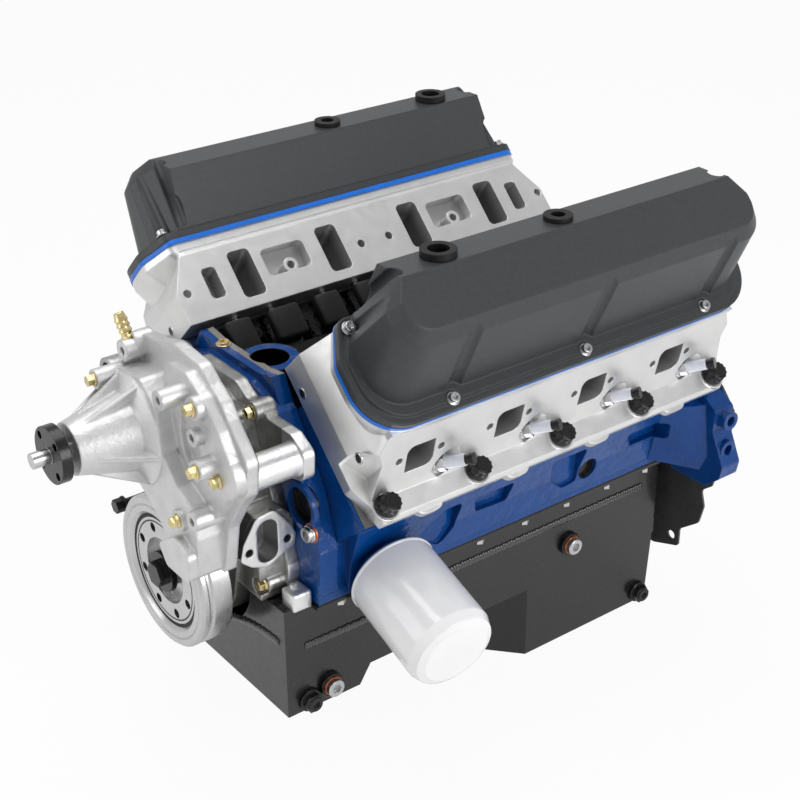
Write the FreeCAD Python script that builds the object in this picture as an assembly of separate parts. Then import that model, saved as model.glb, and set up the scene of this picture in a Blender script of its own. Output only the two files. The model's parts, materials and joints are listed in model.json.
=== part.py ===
# Small-block V8 long block, 8.2 inch deck: block, heads, covers, crank train, timing set, pump and pan.
# Frame: +X towards the left bank, +Y towards the flywheel, +Z up; origin on the crank axis at the rear face.
import FreeCAD, Part
import math
import os
from FreeCAD import Vector as V, Placement, Rotation

os.makedirs("parts", exist_ok=True)

# ---------------------------------------------------------------- driving dimensions (mm)
DECK_H = 208.4            # crank axis to deck
BORE_R = 52.4
STROKE = 86.4
PISTON_H = 28.0           # pin to crown
ROD_L = DECK_H - STROKE / 2 - PISTON_H
BORE_PITCH = 111.25
STAGGER = 21.2            # left bank sits this far behind the right bank
BANK_ANGLE = 45.0         # each side of vertical
MAIN_R = 28.55
MAIN_W = 26.0
PIN_R = 26.95
ROD_W = 20.6
ROD_GAP = STAGGER - ROD_W
CAM_Z = 120.0
CAM_R = 26.4
CAM_BASE_R = 16.5
CAM_NOSE_R = 7.5
CAM_LIFT = 7.4
LIFTER_R = 11.08
LIFTER_S = (-25.0, 19.0)  # the two lifters of a cylinder, along the bank
RUN = 0.05                # running clearance, radial
GAP = 0.3                 # clearance between bodies
RAIL_X = 148.0            # pan rail half width
SKIRT_X = 145.0           # crankcase side wall
DECK_E = 64.0             # deck edge, exhaust side of the bore axis
DECK_I = -70.0            # deck edge, valley side of the bore axis
CASE_R = 86.0             # crankcase bay radius
GASKET_T = 1.2

HEAD_L = 248.3            # half length of the lower head
REAR_LEN = HEAD_L + STAGGER / 2 - 0.4 - 2 * BORE_PITCH   # block rear face to the rear main
FRONT_LEN = REAR_LEN + 1.0                                # front main to the block's front face
MAIN5_Y = -REAR_LEN
FRONT_Y = MAIN5_Y - 4 * BORE_PITCH - FRONT_LEN
HEAD_I = -109.2           # intake face
HEAD_E = 69.0             # ledge edge, exhaust side
RAIL_V = 88.5             # cover rail above the deck
LEDGE_V = 14.5
PORT_E_W = 33.5
PORT_E_H = 31.0
PORT_I_W = 27.0
PORT_I_H = 54.0
COVER_L = HEAD_L + 3.7           # cover rail half length
COVER_GASKET = 5.0
COVER_RAIL = 8.5
COVER_TOP = 188.4
COVER_WALL = 5.0

DAMPER_R = 82.5
DAMPER_W = 36.0
TC_FRONT_Y = FRONT_Y - 54.0       # timing cover, seal boss face
DAMPER_FACE_Y = TC_FRONT_Y - 39.4
SNOUT_R = 17.45
HUB_R = 24.0
FLANGE_R = 42.5
SEAL_R = 46.0
PUMP_Z = 174.0
PUMP_HUB_R = 29.0
PUMP_HUB_T = 11.0
PUMP_SHAFT_R = 8.0
PUMP_PILOT_R = 7.94
PUMP_BACK_Y = FRONT_Y - 70.0
PUMP_HUB_Y = PUMP_BACK_Y - 128.9

CHAIN_PITCH = 9.525
CRANK_TEETH = 20
CAM_TEETH = 40
CHAIN_W = 14.0
CHAIN_Y = FRONT_Y - 16.0

PAN_WALL = 2.5
PAN_X = 135.0
PAN_FRONT_Y = FRONT_Y - 33.0
PAN_REAR_Y = MAIN5_Y + 5.0
PAN_TRAY_Z = -110.0
PAN_NOSE_Z = -132.0
PAN_SUMP_Z = -199.0
PAN_RAIL_T = 4.0
PAN_GASKET = 2.0

FILTER_R = 47.0
FILTER_L = 122.0
PLATE_T = 2.5

# ---------------------------------------------------------------- derived places
C45 = math.cos(math.radians(BANK_ANGLE))
MAINS = [MAIN5_Y - BORE_PITCH * k for k in (4, 3, 2, 1, 0)]
PINS = [MAINS[k] + BORE_PITCH / 2 for k in range(4)]
PIN_ANGLE = [90.0, 0.0, 180.0, 270.0]
MID_Y = (PINS[0] + PINS[3]) / 2
CYL_S = [(k - 1.5) * BORE_PITCH for k in range(4)]
CRANK_R = STROKE / 2
CAM_PR = CHAIN_PITCH / 2 / math.sin(math.pi / CAM_TEETH)
CRANK_PR = CHAIN_PITCH / 2 / math.sin(math.pi / CRANK_TEETH)
SIDES = {"left": (0.0, MID_Y + STAGGER / 2), "right": (180.0, MID_Y - STAGGER / 2)}
X_AXIS = V(1, 0, 0)
Y_AXIS = V(0, 1, 0)
Z_AXIS = V(0, 0, 1)


# ---------------------------------------------------------------- helpers
def cyl(r, h, at, d=Z_AXIS):
    return Part.makeCylinder(r, h, at, d)


def ring(ro, ri, h, at, d=Z_AXIS):
    return cyl(ro, h, at, d).cut(cyl(ri, h + 2, at - d * 1.0, d))


def box(x0, x1, y0, y1, z0, z1):
    return Part.makeBox(x1 - x0, y1 - y0, z1 - z0, V(x0, y0, z0))


def face_of(pts):
    return Part.Face(Part.makePolygon(pts + [pts[0]]))


def prism_y(xz, y0, y1):
    return face_of([V(x, y0, z) for x, z in xz]).extrude(V(0, y1 - y0, 0))


def prism_z(xy, z0, z1):
    return face_of([V(x, y, z0) for x, y in xy]).extrude(V(0, 0, z1 - z0))


def prism_x(yz, x0, x1):
    return face_of([V(x0, y, z) for y, z in yz]).extrude(V(x1 - x0, 0, 0))


def round_wire(pts, put):
    """Closed wire through corner points (u, v, radius); put(u, v) gives the 3-D point."""
    n = len(pts)
    runs = []
    for i in range(n):
        a, b, c = pts[i - 1], pts[i], pts[(i + 1) % n]
        p = V(b[0], b[1], 0)
        r = b[2] if len(b) > 2 else 0.0
        if r <= 0:
            runs.append((p, None, p))
            continue
        d1 = (V(a[0], a[1], 0) - p).normalize()
        d2 = (V(c[0], c[1], 0) - p).normalize()
        half = math.acos(max(-1.0, min(1.0, d1.dot(d2)))) / 2
        t = r / math.tan(half)
        mid = p + (d1 + d2).normalize() * (r / math.sin(half) - r)
        runs.append((p + d1 * t, mid, p + d2 * t))
    edges = []
    for i in range(n):
        s, m, e = runs[i]
        if m is not None:
            edges.append(Part.Arc(put(s.x, s.y), put(m.x, m.y), put(e.x, e.y)).toShape())
        q = runs[(i + 1) % n][0]
        if (q - e).Length > 1e-6:
            edges.append(Part.LineSegment(put(e.x, e.y), put(q.x, q.y)).toShape())
    return Part.Wire(edges)


def round_y(pts, y0, y1):
    w = round_wire(pts, lambda u, v: V(u, y0, v))
    return Part.Face(w).extrude(V(0, y1 - y0, 0))


def round_z(pts, z0, z1):
    w = round_wire(pts, lambda u, v: V(u, v, z0))
    return Part.Face(w).extrude(V(0, 0, z1 - z0))


def hull2(r1, p1, r2, p2, y0, y1):
    """Belt-shaped prism around two circles in the XZ plane."""
    (x1, z1), (x2, z2) = p1, p2
    d = math.hypot(x2 - x1, z2 - z1)
    base = math.atan2(z2 - z1, x2 - x1)
    off = math.acos((r1 - r2) / d)
    pts = []
    for s in (1, -1):
        a = base + s * off
        pts.append(((x1 + r1 * math.cos(a), z1 + r1 * math.sin(a)), (x2 + r2 * math.cos(a), z2 + r2 * math.sin(a))))
    far1 = (x1 - r1 * math.cos(base), z1 - r1 * math.sin(base))
    far2 = (x2 + r2 * math.cos(base), z2 + r2 * math.sin(base))
    put = lambda q: V(q[0], y0, q[1])
    w = Part.Wire([
        Part.LineSegment(put(pts[0][0]), put(pts[0][1])).toShape(),
        Part.Arc(put(pts[0][1]), put(far2), put(pts[1][1])).toShape(),
        Part.LineSegment(put(pts[1][1]), put(pts[1][0])).toShape(),
        Part.Arc(put(pts[1][0]), put(far1), put(pts[0][0])).toShape(),
    ])
    return Part.Face(w).extrude(V(0, y1 - y0, 0))


def fuse(parts):
    out = parts[0]
    if len(parts) > 1:
        out = out.fuse(parts[1:])
    return out.removeSplitter()


def hexagon(af, h, at, d=Z_AXIS):
    r = af / 2 / math.cos(math.pi / 6)
    pts = [V(r * math.cos(math.pi / 3 * k), r * math.sin(math.pi / 3 * k), 0) for k in range(6)]
    s = face_of(pts).extrude(V(0, 0, h))
    s.Placement = Placement(at, Rotation(Z_AXIS, d))
    return s


def bolt(af, head_h, washer_r, washer_t, at, d):
    """Flanged bolt head standing on its seat."""
    return fuse([cyl(washer_r, washer_t, at, d), hexagon(af, head_h, at, d)])


def to_bank(shape, side):
    turn, ymid = SIDES[side]
    tilt = Placement(V(DECK_H * C45, 0, DECK_H * C45), Rotation(Y_AXIS, BANK_ANGLE))
    s = shape.copy()
    s.Placement = Placement(V(0, ymid, 0), Rotation(Z_AXIS, turn)).multiply(tilt).multiply(s.Placement)
    return s


def mirrored(shape):
    return shape.mirror(V(0, 0, 0), X_AXIS)


def save(name, shapes):
    shapes = shapes if isinstance(shapes, list) else [shapes]
    solids = []
    for s in shapes:
        solids += s.Solids
    out = solids[0] if len(solids) == 1 else Part.makeCompound(solids)
    out.exportStep("parts/" + name + ".step")
    print(name, len(solids), round(sum(s.Volume for s in solids) / 1000, 1), all(s.isValid() for s in solids))


# ---------------------------------------------------------------- block
BELL = [(150, 120), (190, 95), (211, 81, 6), (208, 57, 10), (227, 18, 8), (224, 2, 6), (205, -15, 6), (152, -15), (152, 1)]
PAN_ARCH_R = 74.0
FRONT_BAY_Y = FRONT_Y + 8.0
SIDE_POCKETS = [[(-395, 40, 6), (-369, 62, 8), (-346, 62, 6), (-350, 30, 8), (-369, 12, 10), (-390, 28, 8)],
                [(-331, 60, 4), (-323, 38, 4), (-281, 36, 4), (-276, 60, 4)],
                [(-225, 66, 5), (-217, 35, 10), (-199, 19, 12), (-179, 21, 5), (-174, 66, 5)],
                [(-113, 60, 4), (-101, 40, 4), (-56, 40, 4), (-56, 60, 4)]]
CORE_Y = (-163.0, -449.0)
VALLEY_V = -50.0          # valley floor, below the deck
CHINA_Z = 214.0
CHINA_T = 16.0
FILTER_AT = V(160, FRONT_Y + 78.0, 17)
FILTER_DIR = V(0.966, -0.072, -0.247).normalize()
DIST_AT = (16.0, FRONT_Y + 39.0)
DIST_R = 24.0
DIST_Z = 211.0


def bank_profile():
    """Bank section in the deck frame: (e, v)."""
    t = DECK_H
    g = -GASKET_T
    return [(DECK_I, g), (DECK_E, g), (DECK_E, -14), (DECK_E - 6, -44), (DECK_E - 4, -t + 90),
            (10, -t + 40), (-40, -t + 60), (DECK_I - 32, -t + 95), (DECK_I - 32, VALLEY_V), (DECK_I, VALLEY_V)]


def bank_solid():
    face = face_of([V(e, -HEAD_L + 1.0, v) for e, v in bank_profile()])
    return face.extrude(V(0, 2 * HEAD_L - 2.0, 0))


def lifter_axis_e():
    return -CAM_Z * C45


def block():
    case = round_y([(-RAIL_X, 0), (RAIL_X, 0), (RAIL_X, 9), (SKIRT_X, 16), (SKIRT_X, 62, 10), (96, 112),
                    (40, 150), (-40, 150), (-96, 112), (-SKIRT_X, 62, 10), (-SKIRT_X, 16), (-RAIL_X, 9)], FRONT_Y, 0)
    parts = [case] + [to_bank(bank_solid(), s) for s in SIDES]
    # front wall, china walls and the distributor boss
    top = [(-66, CHINA_Z + 4), (-40, CHINA_Z), (40, CHINA_Z), (66, CHINA_Z + 4), (104, 150), (90, 100), (-90, 100), (-104, 150)]
    parts.append(prism_y(top, FRONT_Y + 8, FRONT_Y + 8 + CHINA_T))
    parts.append(prism_y(top, -CHINA_T, 0))
    front = [(-150, 12), (-118, -0.0), (118, 0), (150, 12), (152, 60), (134, 118), (88, 190), (40, CHINA_Z - 8),
             (-40, CHINA_Z - 8), (-88, 190), (-134, 118), (-152, 60)]
    parts.append(prism_y(front, FRONT_Y, FRONT_Y + 22))
    parts.append(cyl(DIST_R + 8, 70, V(DIST_AT[0], DIST_AT[1], DIST_Z - 70)))
    # bell-housing flange with its gussets
    bell = BELL + [(-q[0],) + q[1:] for q in reversed(BELL)]
    parts.append(round_y(bell, -28, 0))
    for s in (1, -1):
        gus = [V(s * 143, -26, 100), V(s * 196, -26, 84), V(s * 206, -26, 22), V(s * 196, -26, 0.5), V(s * 143, -26, 0.5)]
        tip = [V(s * 143, -66, 98), V(s * 168, -66, 80), V(s * 156, -66, 36), V(s * 150, -66, 8), V(s * 143, -66, 8)]
        parts.append(Part.makeLoft([Part.makePolygon(gus + [gus[0]]), Part.makePolygon(tip + [tip[0]])], True, True))
    # filter boss, mount bosses, ribs on the side walls
    parts.append(cyl(FILTER_R - 28, 34, FILTER_AT - FILTER_DIR * 34, FILTER_DIR))
    parts.append(cyl(FILTER_R - 9, 4, FILTER_AT - FILTER_DIR * 4, FILTER_DIR))
    for s, ymid in ((1, SIDES["left"][1]), (-1, SIDES["right"][1])):
        wall = [(s * 118, 12), (s * 149, 8), (s * 153, 36), (s * 168, 80), (s * 150, 96), (s * 118, 96)]
        parts.append(prism_y(wall, ymid - HEAD_L + 14, -40))
        parts.append(cyl(25, 6, V(s * 126, FRONT_Y - 4, 106), Y_AXIS))
        for z in (70, 34):
            parts.append(cyl(11, 12, V(s * 209, -14, z), V(s, 0, 0)))
    body = fuse(parts)

    cuts = []
    for side in SIDES:
        for s in CYL_S:
            cuts.append(to_bank(cyl(BORE_R, DECK_H - 60 + 1, V(0, s, 60 - DECK_H)), side))
            for o in LIFTER_S:
                cuts.append(to_bank(cyl(LIFTER_R + RUN, 150, V(lifter_axis_e(), s + o, CAM_Z * C45 - DECK_H)), side))
    for k in range(4):
        bay = round_y([(-118, -5), (118, -5), (104, 30, 20), (60, 70, 30), (-60, 70, 30), (-104, 30, 20)],
                      MAINS[k] + MAIN_W / 2, MAINS[k + 1] - MAIN_W / 2)
        cuts.append(bay)
        cuts.append(cyl(CASE_R, BORE_PITCH - MAIN_W, V(0, MAINS[k] + MAIN_W / 2, 0), Y_AXIS))
    # main tunnel with its shells' seats, seal recess, cam tunnel
    cuts.append(cyl(MAIN_R + 2.5, -FRONT_Y + 2, V(0, FRONT_Y - 1, 0), Y_AXIS))
    cuts.append(cyl(CAM_R + RUN, -FRONT_Y - 12, V(0, FRONT_Y - 1, CAM_Z), Y_AXIS))
    cuts.append(cyl(SEAL_R, 40, V(0, MAINS[4] + MAIN_W / 2, 0), Y_AXIS))
    for k in range(5):
        cuts.append(box(-CAP_W / 2 - 0.1, CAP_W / 2 + 0.1, MAINS[k] - MAIN_W / 2 - 0.5, MAINS[k] + MAIN_W / 2 + 0.5, -20, 0.0))
    # distributor bore, front openings
    cuts.append(cyl(DIST_R - 4, 60, V(DIST_AT[0], DIST_AT[1], DIST_Z - 40)))
    for s in (1, -1):
        cuts.append(cyl(20, 12, V(s * 126, FRONT_Y - 5, 106), Y_AXIS))
        cuts.append(cyl(11.3, 12, V(s * 141, FRONT_Y, 82), V(0, -1, 0)))
        for z in (70, 34):
            cuts.append(cyl(6, 26, V(s * 232, -14, z), V(-s, 0, 0)))
    for s, turn in ((1, 0), (-1, 1)):
        for wall in SIDE_POCKETS:
            yz = [(2 * MID_Y * turn + (1 - 2 * turn) * q[0], q[1]) + tuple(q[2:]) for q in wall]
            pocket = Part.Face(round_wire(yz, lambda u, v: V(s * 146, u, v))).extrude(V(s * 40, 0, 0))
            cuts.append(pocket)
        for y in CORE_Y:
            cuts.append(cyl(13, 60, V(s * 143, 2 * MID_Y * turn + (1 - 2 * turn) * y, 32), V(s, 0, 0)))
    out = body.cut(cuts)
    return max(out.Solids, key=lambda q: q.Volume)


# ---------------------------------------------------------------- crankcase pieces
CAP_W = 118.0
CAP_H = 46.0
CAP_FLAT = 34.0


def main_caps():
    out = []
    w = CAP_W / 2
    for k, y in enumerate(MAINS):
        y0, y1 = y - MAIN_W / 2 + 0.5, y + MAIN_W / 2 - 0.5
        c = round_y([(-w, 0), (-w, -CAP_FLAT), (-34, -CAP_FLAT), (-27, -CAP_H), (27, -CAP_H), (34, -CAP_FLAT), (w, -CAP_FLAT), (w, 0)], y0, y1)
        if k == 4:
            disc = cyl(PAN_ARCH_R - GAP, y1 - y0, V(0, y0, 0), Y_AXIS)
            c = disc.cut([box(-90, 90, y0 - 1, y1 + 1, 0, 90)] + [box(s * 46 - 11, s * 46 + 11, y0 - 1, y1 + 1, -90, -CAP_FLAT) for s in (1, -1)])
        c = c.cut(cyl(MAIN_R + 2.5, MAIN_W + 2, V(0, y - MAIN_W / 2 - 1, 0), Y_AXIS))
        out.append(c)
        for s in (1, -1):
            out.append(hexagon(17, 11, V(s * 46, y, -CAP_FLAT), V(0, 0, -1)))
    return out


def main_bearings():
    return [ring(MAIN_R + 2.5, MAIN_R + RUN, MAIN_W - 4, V(0, y - MAIN_W / 2 + 2, 0), Y_AXIS) for y in MAINS]


def rear_seal():
    return ring(SEAL_R, FLANGE_R + RUN, 10, V(0, -13, 0), Y_AXIS)


# ---------------------------------------------------------------- crank train
WEB_T = (BORE_PITCH - MAIN_W - 2 * ROD_W - ROD_GAP - 1.0) / 2
CW_R = 68.0


def pin_at(k):
    a = math.radians(PIN_ANGLE[k])
    return CRANK_R * math.cos(a), CRANK_R * math.sin(a)


def crank_web(k, y0):
    px, pz = pin_at(k)
    arm = hull2(37, (0, 0), 34, (px, pz), y0, y0 + WEB_T)
    cw = cyl(CW_R, WEB_T, V(0, y0, 0), Y_AXIS)
    a = PIN_ANGLE[k]
    cut = box(-2 * CW_R, 2 * CW_R, y0 - 1, y0 + WEB_T + 1, 0, 2 * CW_R)
    cut.rotate(V(0, 0, 0), Y_AXIS, 90 - a)
    wedge = cw.cut(cut)
    return [arm, wedge]


def crankshaft():
    parts = [cyl(MAIN_R, MAINS[4] + MAIN_W / 2 - MAINS[0] + MAIN_W / 2 - 0.0, V(0, MAINS[0] - MAIN_W / 2, 0), Y_AXIS)]
    for k in range(4):
        px, pz = pin_at(k)
        y0 = MAINS[k] + MAIN_W / 2
        bay = BORE_PITCH - MAIN_W
        parts[0] = parts[0].cut(cyl(MAIN_R + 1, bay - 2 * WEB_T, V(0, y0 + WEB_T, 0), Y_AXIS))
    solids = parts[0].Solids
    for k in range(4):
        px, pz = pin_at(k)
        y0 = MAINS[k] + MAIN_W / 2
        solids.append(cyl(PIN_R, BORE_PITCH - MAIN_W - 2 * WEB_T + 2, V(px, y0 + WEB_T - 1, pz), Y_AXIS))
        solids += crank_web(k, y0)
        solids += crank_web(k, y0 + BORE_PITCH - MAIN_W - WEB_T)
    solids.append(cyl(SNOUT_R, MAINS[0] - MAIN_W / 2 - DAMPER_FACE_Y - 6, V(0, DAMPER_FACE_Y + 6, 0), Y_AXIS))
    solids.append(cyl(FLANGE_R, 12 - MAINS[4] - MAIN_W / 2, V(0, MAINS[4] + MAIN_W / 2, 0), Y_AXIS))
    out = fuse(solids)
    out = out.cut(cyl(17.5, 30, V(0, 13, 0), V(0, -1, 0)))
    holes = [cyl(5.5, 16, V(31.75 * math.cos(math.radians(60 * k)), 13, 31.75 * math.sin(math.radians(60 * k))), V(0, -1, 0))
             for k in range(6)]
    return out.cut(holes)


def piston_place(side, k):
    """Pin height along the bore and the pin's sideways offset, in the bank frame."""
    turn, ymid = SIDES[side]
    px, pz = pin_at(k)
    sx = 1 if side == "left" else -1
    along = (sx * px + pz) * C45
    across = (sx * px - pz) * C45
    pin = along + math.sqrt(ROD_L ** 2 - across ** 2)
    return along, across, pin


PISTON_PIN_R = 11.55
BIG_R = 35.0
SMALL_R = 17.0


def cylinder_s(side, k):
    return CYL_S[k] if side == "left" else -CYL_S[k]


def rods_and_pistons():
    rods, caps, pistons, pins = [], [], [], []
    for side in SIDES:
        for k in range(4):
            s = cylinder_s(side, k)
            along, across, pin = piston_place(side, k)
            w = ROD_W / 2
            # rod frame: big end at the origin, small end on +Z
            big = cyl(BIG_R, ROD_W, V(0, -w, 0), Y_AXIS)
            beam = prism_y([(-14, 20), (14, 20), (9, ROD_L - 10), (-9, ROD_L - 10)], -w * 0.55, w * 0.55)
            small = cyl(SMALL_R, ROD_W, V(0, -w, ROD_L), Y_AXIS)
            rod = fuse([big, beam, small])
            rod = rod.cut([cyl(PIN_R + RUN, ROD_W + 2, V(0, -w - 1, 0), Y_AXIS),
                           cyl(PISTON_PIN_R, ROD_W + 2, V(0, -w - 1, ROD_L), Y_AXIS)])
            lower = box(-60, 60, -40, 40, -80, 0)
            cap = rod.common(lower)
            rod = rod.cut(lower)
            lean = math.degrees(math.atan2(-across, pin - along))
            for item, bag in ((rod, rods), (cap, caps)):
                q = item.copy()
                q.Placement = Placement(V(across, s, along - DECK_H), Rotation(Y_AXIS, lean))
                bag.append(to_bank(q, side))
            v = pin - DECK_H
            body = cyl(BORE_R - RUN, PISTON_H + 18, V(0, s, v - 18))
            body = body.cut([cyl(BORE_R - 6, 18 + PISTON_H - 9, V(0, s, v - 19)),
                             box(-BORE_R, BORE_R, s - BORE_R, s - 34, v - 19, v + 12),
                             box(-BORE_R, BORE_R, s + 34, s + BORE_R, v - 19, v + 12)])
            boss = box(-15, 15, s - 33.5, s - ROD_W / 2 - 1, v - 15, v + PISTON_H - 9)
            boss2 = box(-15, 15, s + ROD_W / 2 + 1, s + 33.5, v - 15, v + PISTON_H - 9)
            body = fuse([body, boss, boss2])
            body = body.cut(cyl(PISTON_PIN_R, 80, V(0, s - 40, v), Y_AXIS))
            pistons.append(to_bank(body, side))
            pins.append(to_bank(cyl(PISTON_PIN_R, 66, V(0, s - 33, v), Y_AXIS), side))
    return rods, caps, pistons, pins


# ---------------------------------------------------------------- camshaft and timing set
def lobe_angle(side, k, j):
    """Nose direction of a lobe, degrees from +X in the XZ plane."""
    fire = PIN_ANGLE[k] / 2
    return fire * 2 + (0 if side == "left" else 45) + (100 if j else -10) + 37 * k


def lobe_y(side, k, j):
    turn, ymid = SIDES[side]
    s = cylinder_s(side, k) + LIFTER_S[j]
    return ymid + (s if side == "left" else -s)


def camshaft():
    parts = [cyl(CAM_BASE_R - 2, -20 - FRONT_Y, V(0, FRONT_Y, CAM_Z), Y_AXIS)]
    for y in MAINS:
        y1 = max(y, FRONT_Y + 12.5)
        parts.append(cyl(CAM_R, 20, V(0, y1 - 10, CAM_Z), Y_AXIS))
    for side in SIDES:
        for k in range(4):
            for j in (0, 1):
                y = lobe_y(side, k, j)
                a = math.radians(lobe_angle(side, k, j))
                d = CAM_BASE_R + CAM_LIFT - CAM_NOSE_R
                p = (d * math.cos(a), CAM_Z + d * math.sin(a))
                parts.append(hull2(CAM_BASE_R, (0, CAM_Z), CAM_NOSE_R, p, y - 7, y + 7))
    return fuse(parts)


def roller_height(side, k, j):
    """Distance of the roller's axis from the cam axis, on the lobe as it stands."""
    ux = C45 if side == "left" else -C45
    a = math.radians(lobe_angle(side, k, j))
    d = CAM_BASE_R + CAM_LIFT - CAM_NOSE_R
    steps = [i / 60.0 for i in range(61)]
    h = CAM_BASE_R + ROLLER_R + GAP / 3
    while True:
        gap = min(math.hypot(h * ux - t * d * math.cos(a), h * C45 - t * d * math.sin(a))
                  - (CAM_BASE_R + t * (CAM_NOSE_R - CAM_BASE_R)) for t in steps)
        if gap >= ROLLER_R + GAP / 3:
            return h
        h += 0.1


ROLLER_R = 9.0
LIFTER_LEN = 58.0
PUSHROD_R = 4.0
PUSHROD_LEN = 152.0
HOLE_R = 6.0


def lifters():
    out, rods = [], []
    for side in SIDES:
        for k in range(4):
            for j in (0, 1):
                s = cylinder_s(side, k) + LIFTER_S[j]
                h = roller_height(side, k, j)
                v = CAM_Z * C45 - DECK_H + h
                e = lifter_axis_e()
                body = cyl(LIFTER_R, LIFTER_LEN, V(e, s, v + 2))
                roller = cyl(ROLLER_R, 10, V(e, s - 5, v), Y_AXIS)
                out.append(to_bank(fuse([body, roller]), side))
                rods.append(to_bank(cyl(PUSHROD_R, PUSHROD_LEN, V(e, s, v + 2 + LIFTER_LEN)), side))
    return out, rods


def sprocket(teeth, pr, z, bore, hub_r):
    """Double-roller sprocket: one toothed outline per row."""
    ro = pr + 2.6
    rr = 3.3
    pts = []
    for i in range(teeth):
        a = 2 * math.pi * i / teeth
        for da, r in ((-0.5, ro), (-0.28, ro), (-0.2, pr - rr), (0.2, pr - rr), (0.28, ro)):
            b = a + da * 2 * math.pi / teeth
            pts.append((r * math.cos(b), z + r * math.sin(b)))
    tooth = prism_y(pts, CHAIN_Y - CHAIN_W / 2 + 1.5, CHAIN_Y + CHAIN_W / 2 - 1.5)
    return tooth


def timing_set():
    cam = sprocket(CAM_TEETH, CAM_PR, CAM_Z, 0, 20)
    cam = fuse([cam, cyl(22, FRONT_Y - 5.2 - CHAIN_Y + 2, V(0, CHAIN_Y - 2, CAM_Z), Y_AXIS)])
    holes = [cyl(9, 60, V(36 * math.cos(math.radians(60 * i)), CHAIN_Y - 30, CAM_Z + 36 * math.sin(math.radians(60 * i))), Y_AXIS)
             for i in range(6)]
    cam = cam.cut(holes + [cyl(9, 60, V(0, CHAIN_Y - 30, CAM_Z), Y_AXIS)])
    crank = sprocket(CRANK_TEETH, CRANK_PR, 0, 0, 24)
    crank = fuse([crank, cyl(25, FRONT_Y - 2 - CHAIN_Y, V(0, CHAIN_Y, 0), Y_AXIS)])
    crank = crank.cut(cyl(SNOUT_R, 80, V(0, CHAIN_Y - 40, 0), Y_AXIS))
    # the chain: one belt of side plates outside the teeth
    y0, y1 = CHAIN_Y - CHAIN_W / 2, CHAIN_Y + CHAIN_W / 2
    outer = hull2(CAM_PR + 4.4, (0, CAM_Z), CRANK_PR + 4.4, (0, 0), y0, y1)
    inner = hull2(CAM_PR + 2.9, (0, CAM_Z), CRANK_PR + 2.9, (0, 0), y0 - 1, y1 + 1)
    chain = outer.cut(inner)
    bolt_ = fuse([cyl(8.9, 24, V(0, CHAIN_Y - 14, CAM_Z), Y_AXIS),
                  cyl(15, 4, V(0, CHAIN_Y - 14, CAM_Z), Y_AXIS),
                  hexagon(19, 8, V(0, CHAIN_Y - 14, CAM_Z), V(0, -1, 0))])
    plate = round_y([(-40, CAM_Z - 26, 8), (40, CAM_Z - 26, 8), (40, CAM_Z + 26, 8), (-40, CAM_Z + 26, 8)],
                    FRONT_Y - 5, FRONT_Y)
    plate = plate.cut(cyl(CAM_BASE_R - 2 + GAP, 20, V(0, FRONT_Y - 10, CAM_Z), Y_AXIS))
    return cam, crank, chain, bolt_, plate


# ---------------------------------------------------------------- cylinder head
EXH_K = -0.62             # slope of the exhaust face, e against v
EXH_E = 24.0              # exhaust face at v = EXH_V
EXH_V = 48.0


def exh_e(v):
    return EXH_E + EXH_K * (v - EXH_V)


def rail_outline(length, r_out, e_out, e_in, shy):
    """Cover rail outline in the (e, s) plane."""
    return [(e_out, -length, r_out), (e_out, length, r_out), (-72, length, 20), (e_in, length - shy, 12),
            (e_in, -length + shy, 12), (-72, -length, 20)]


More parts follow.
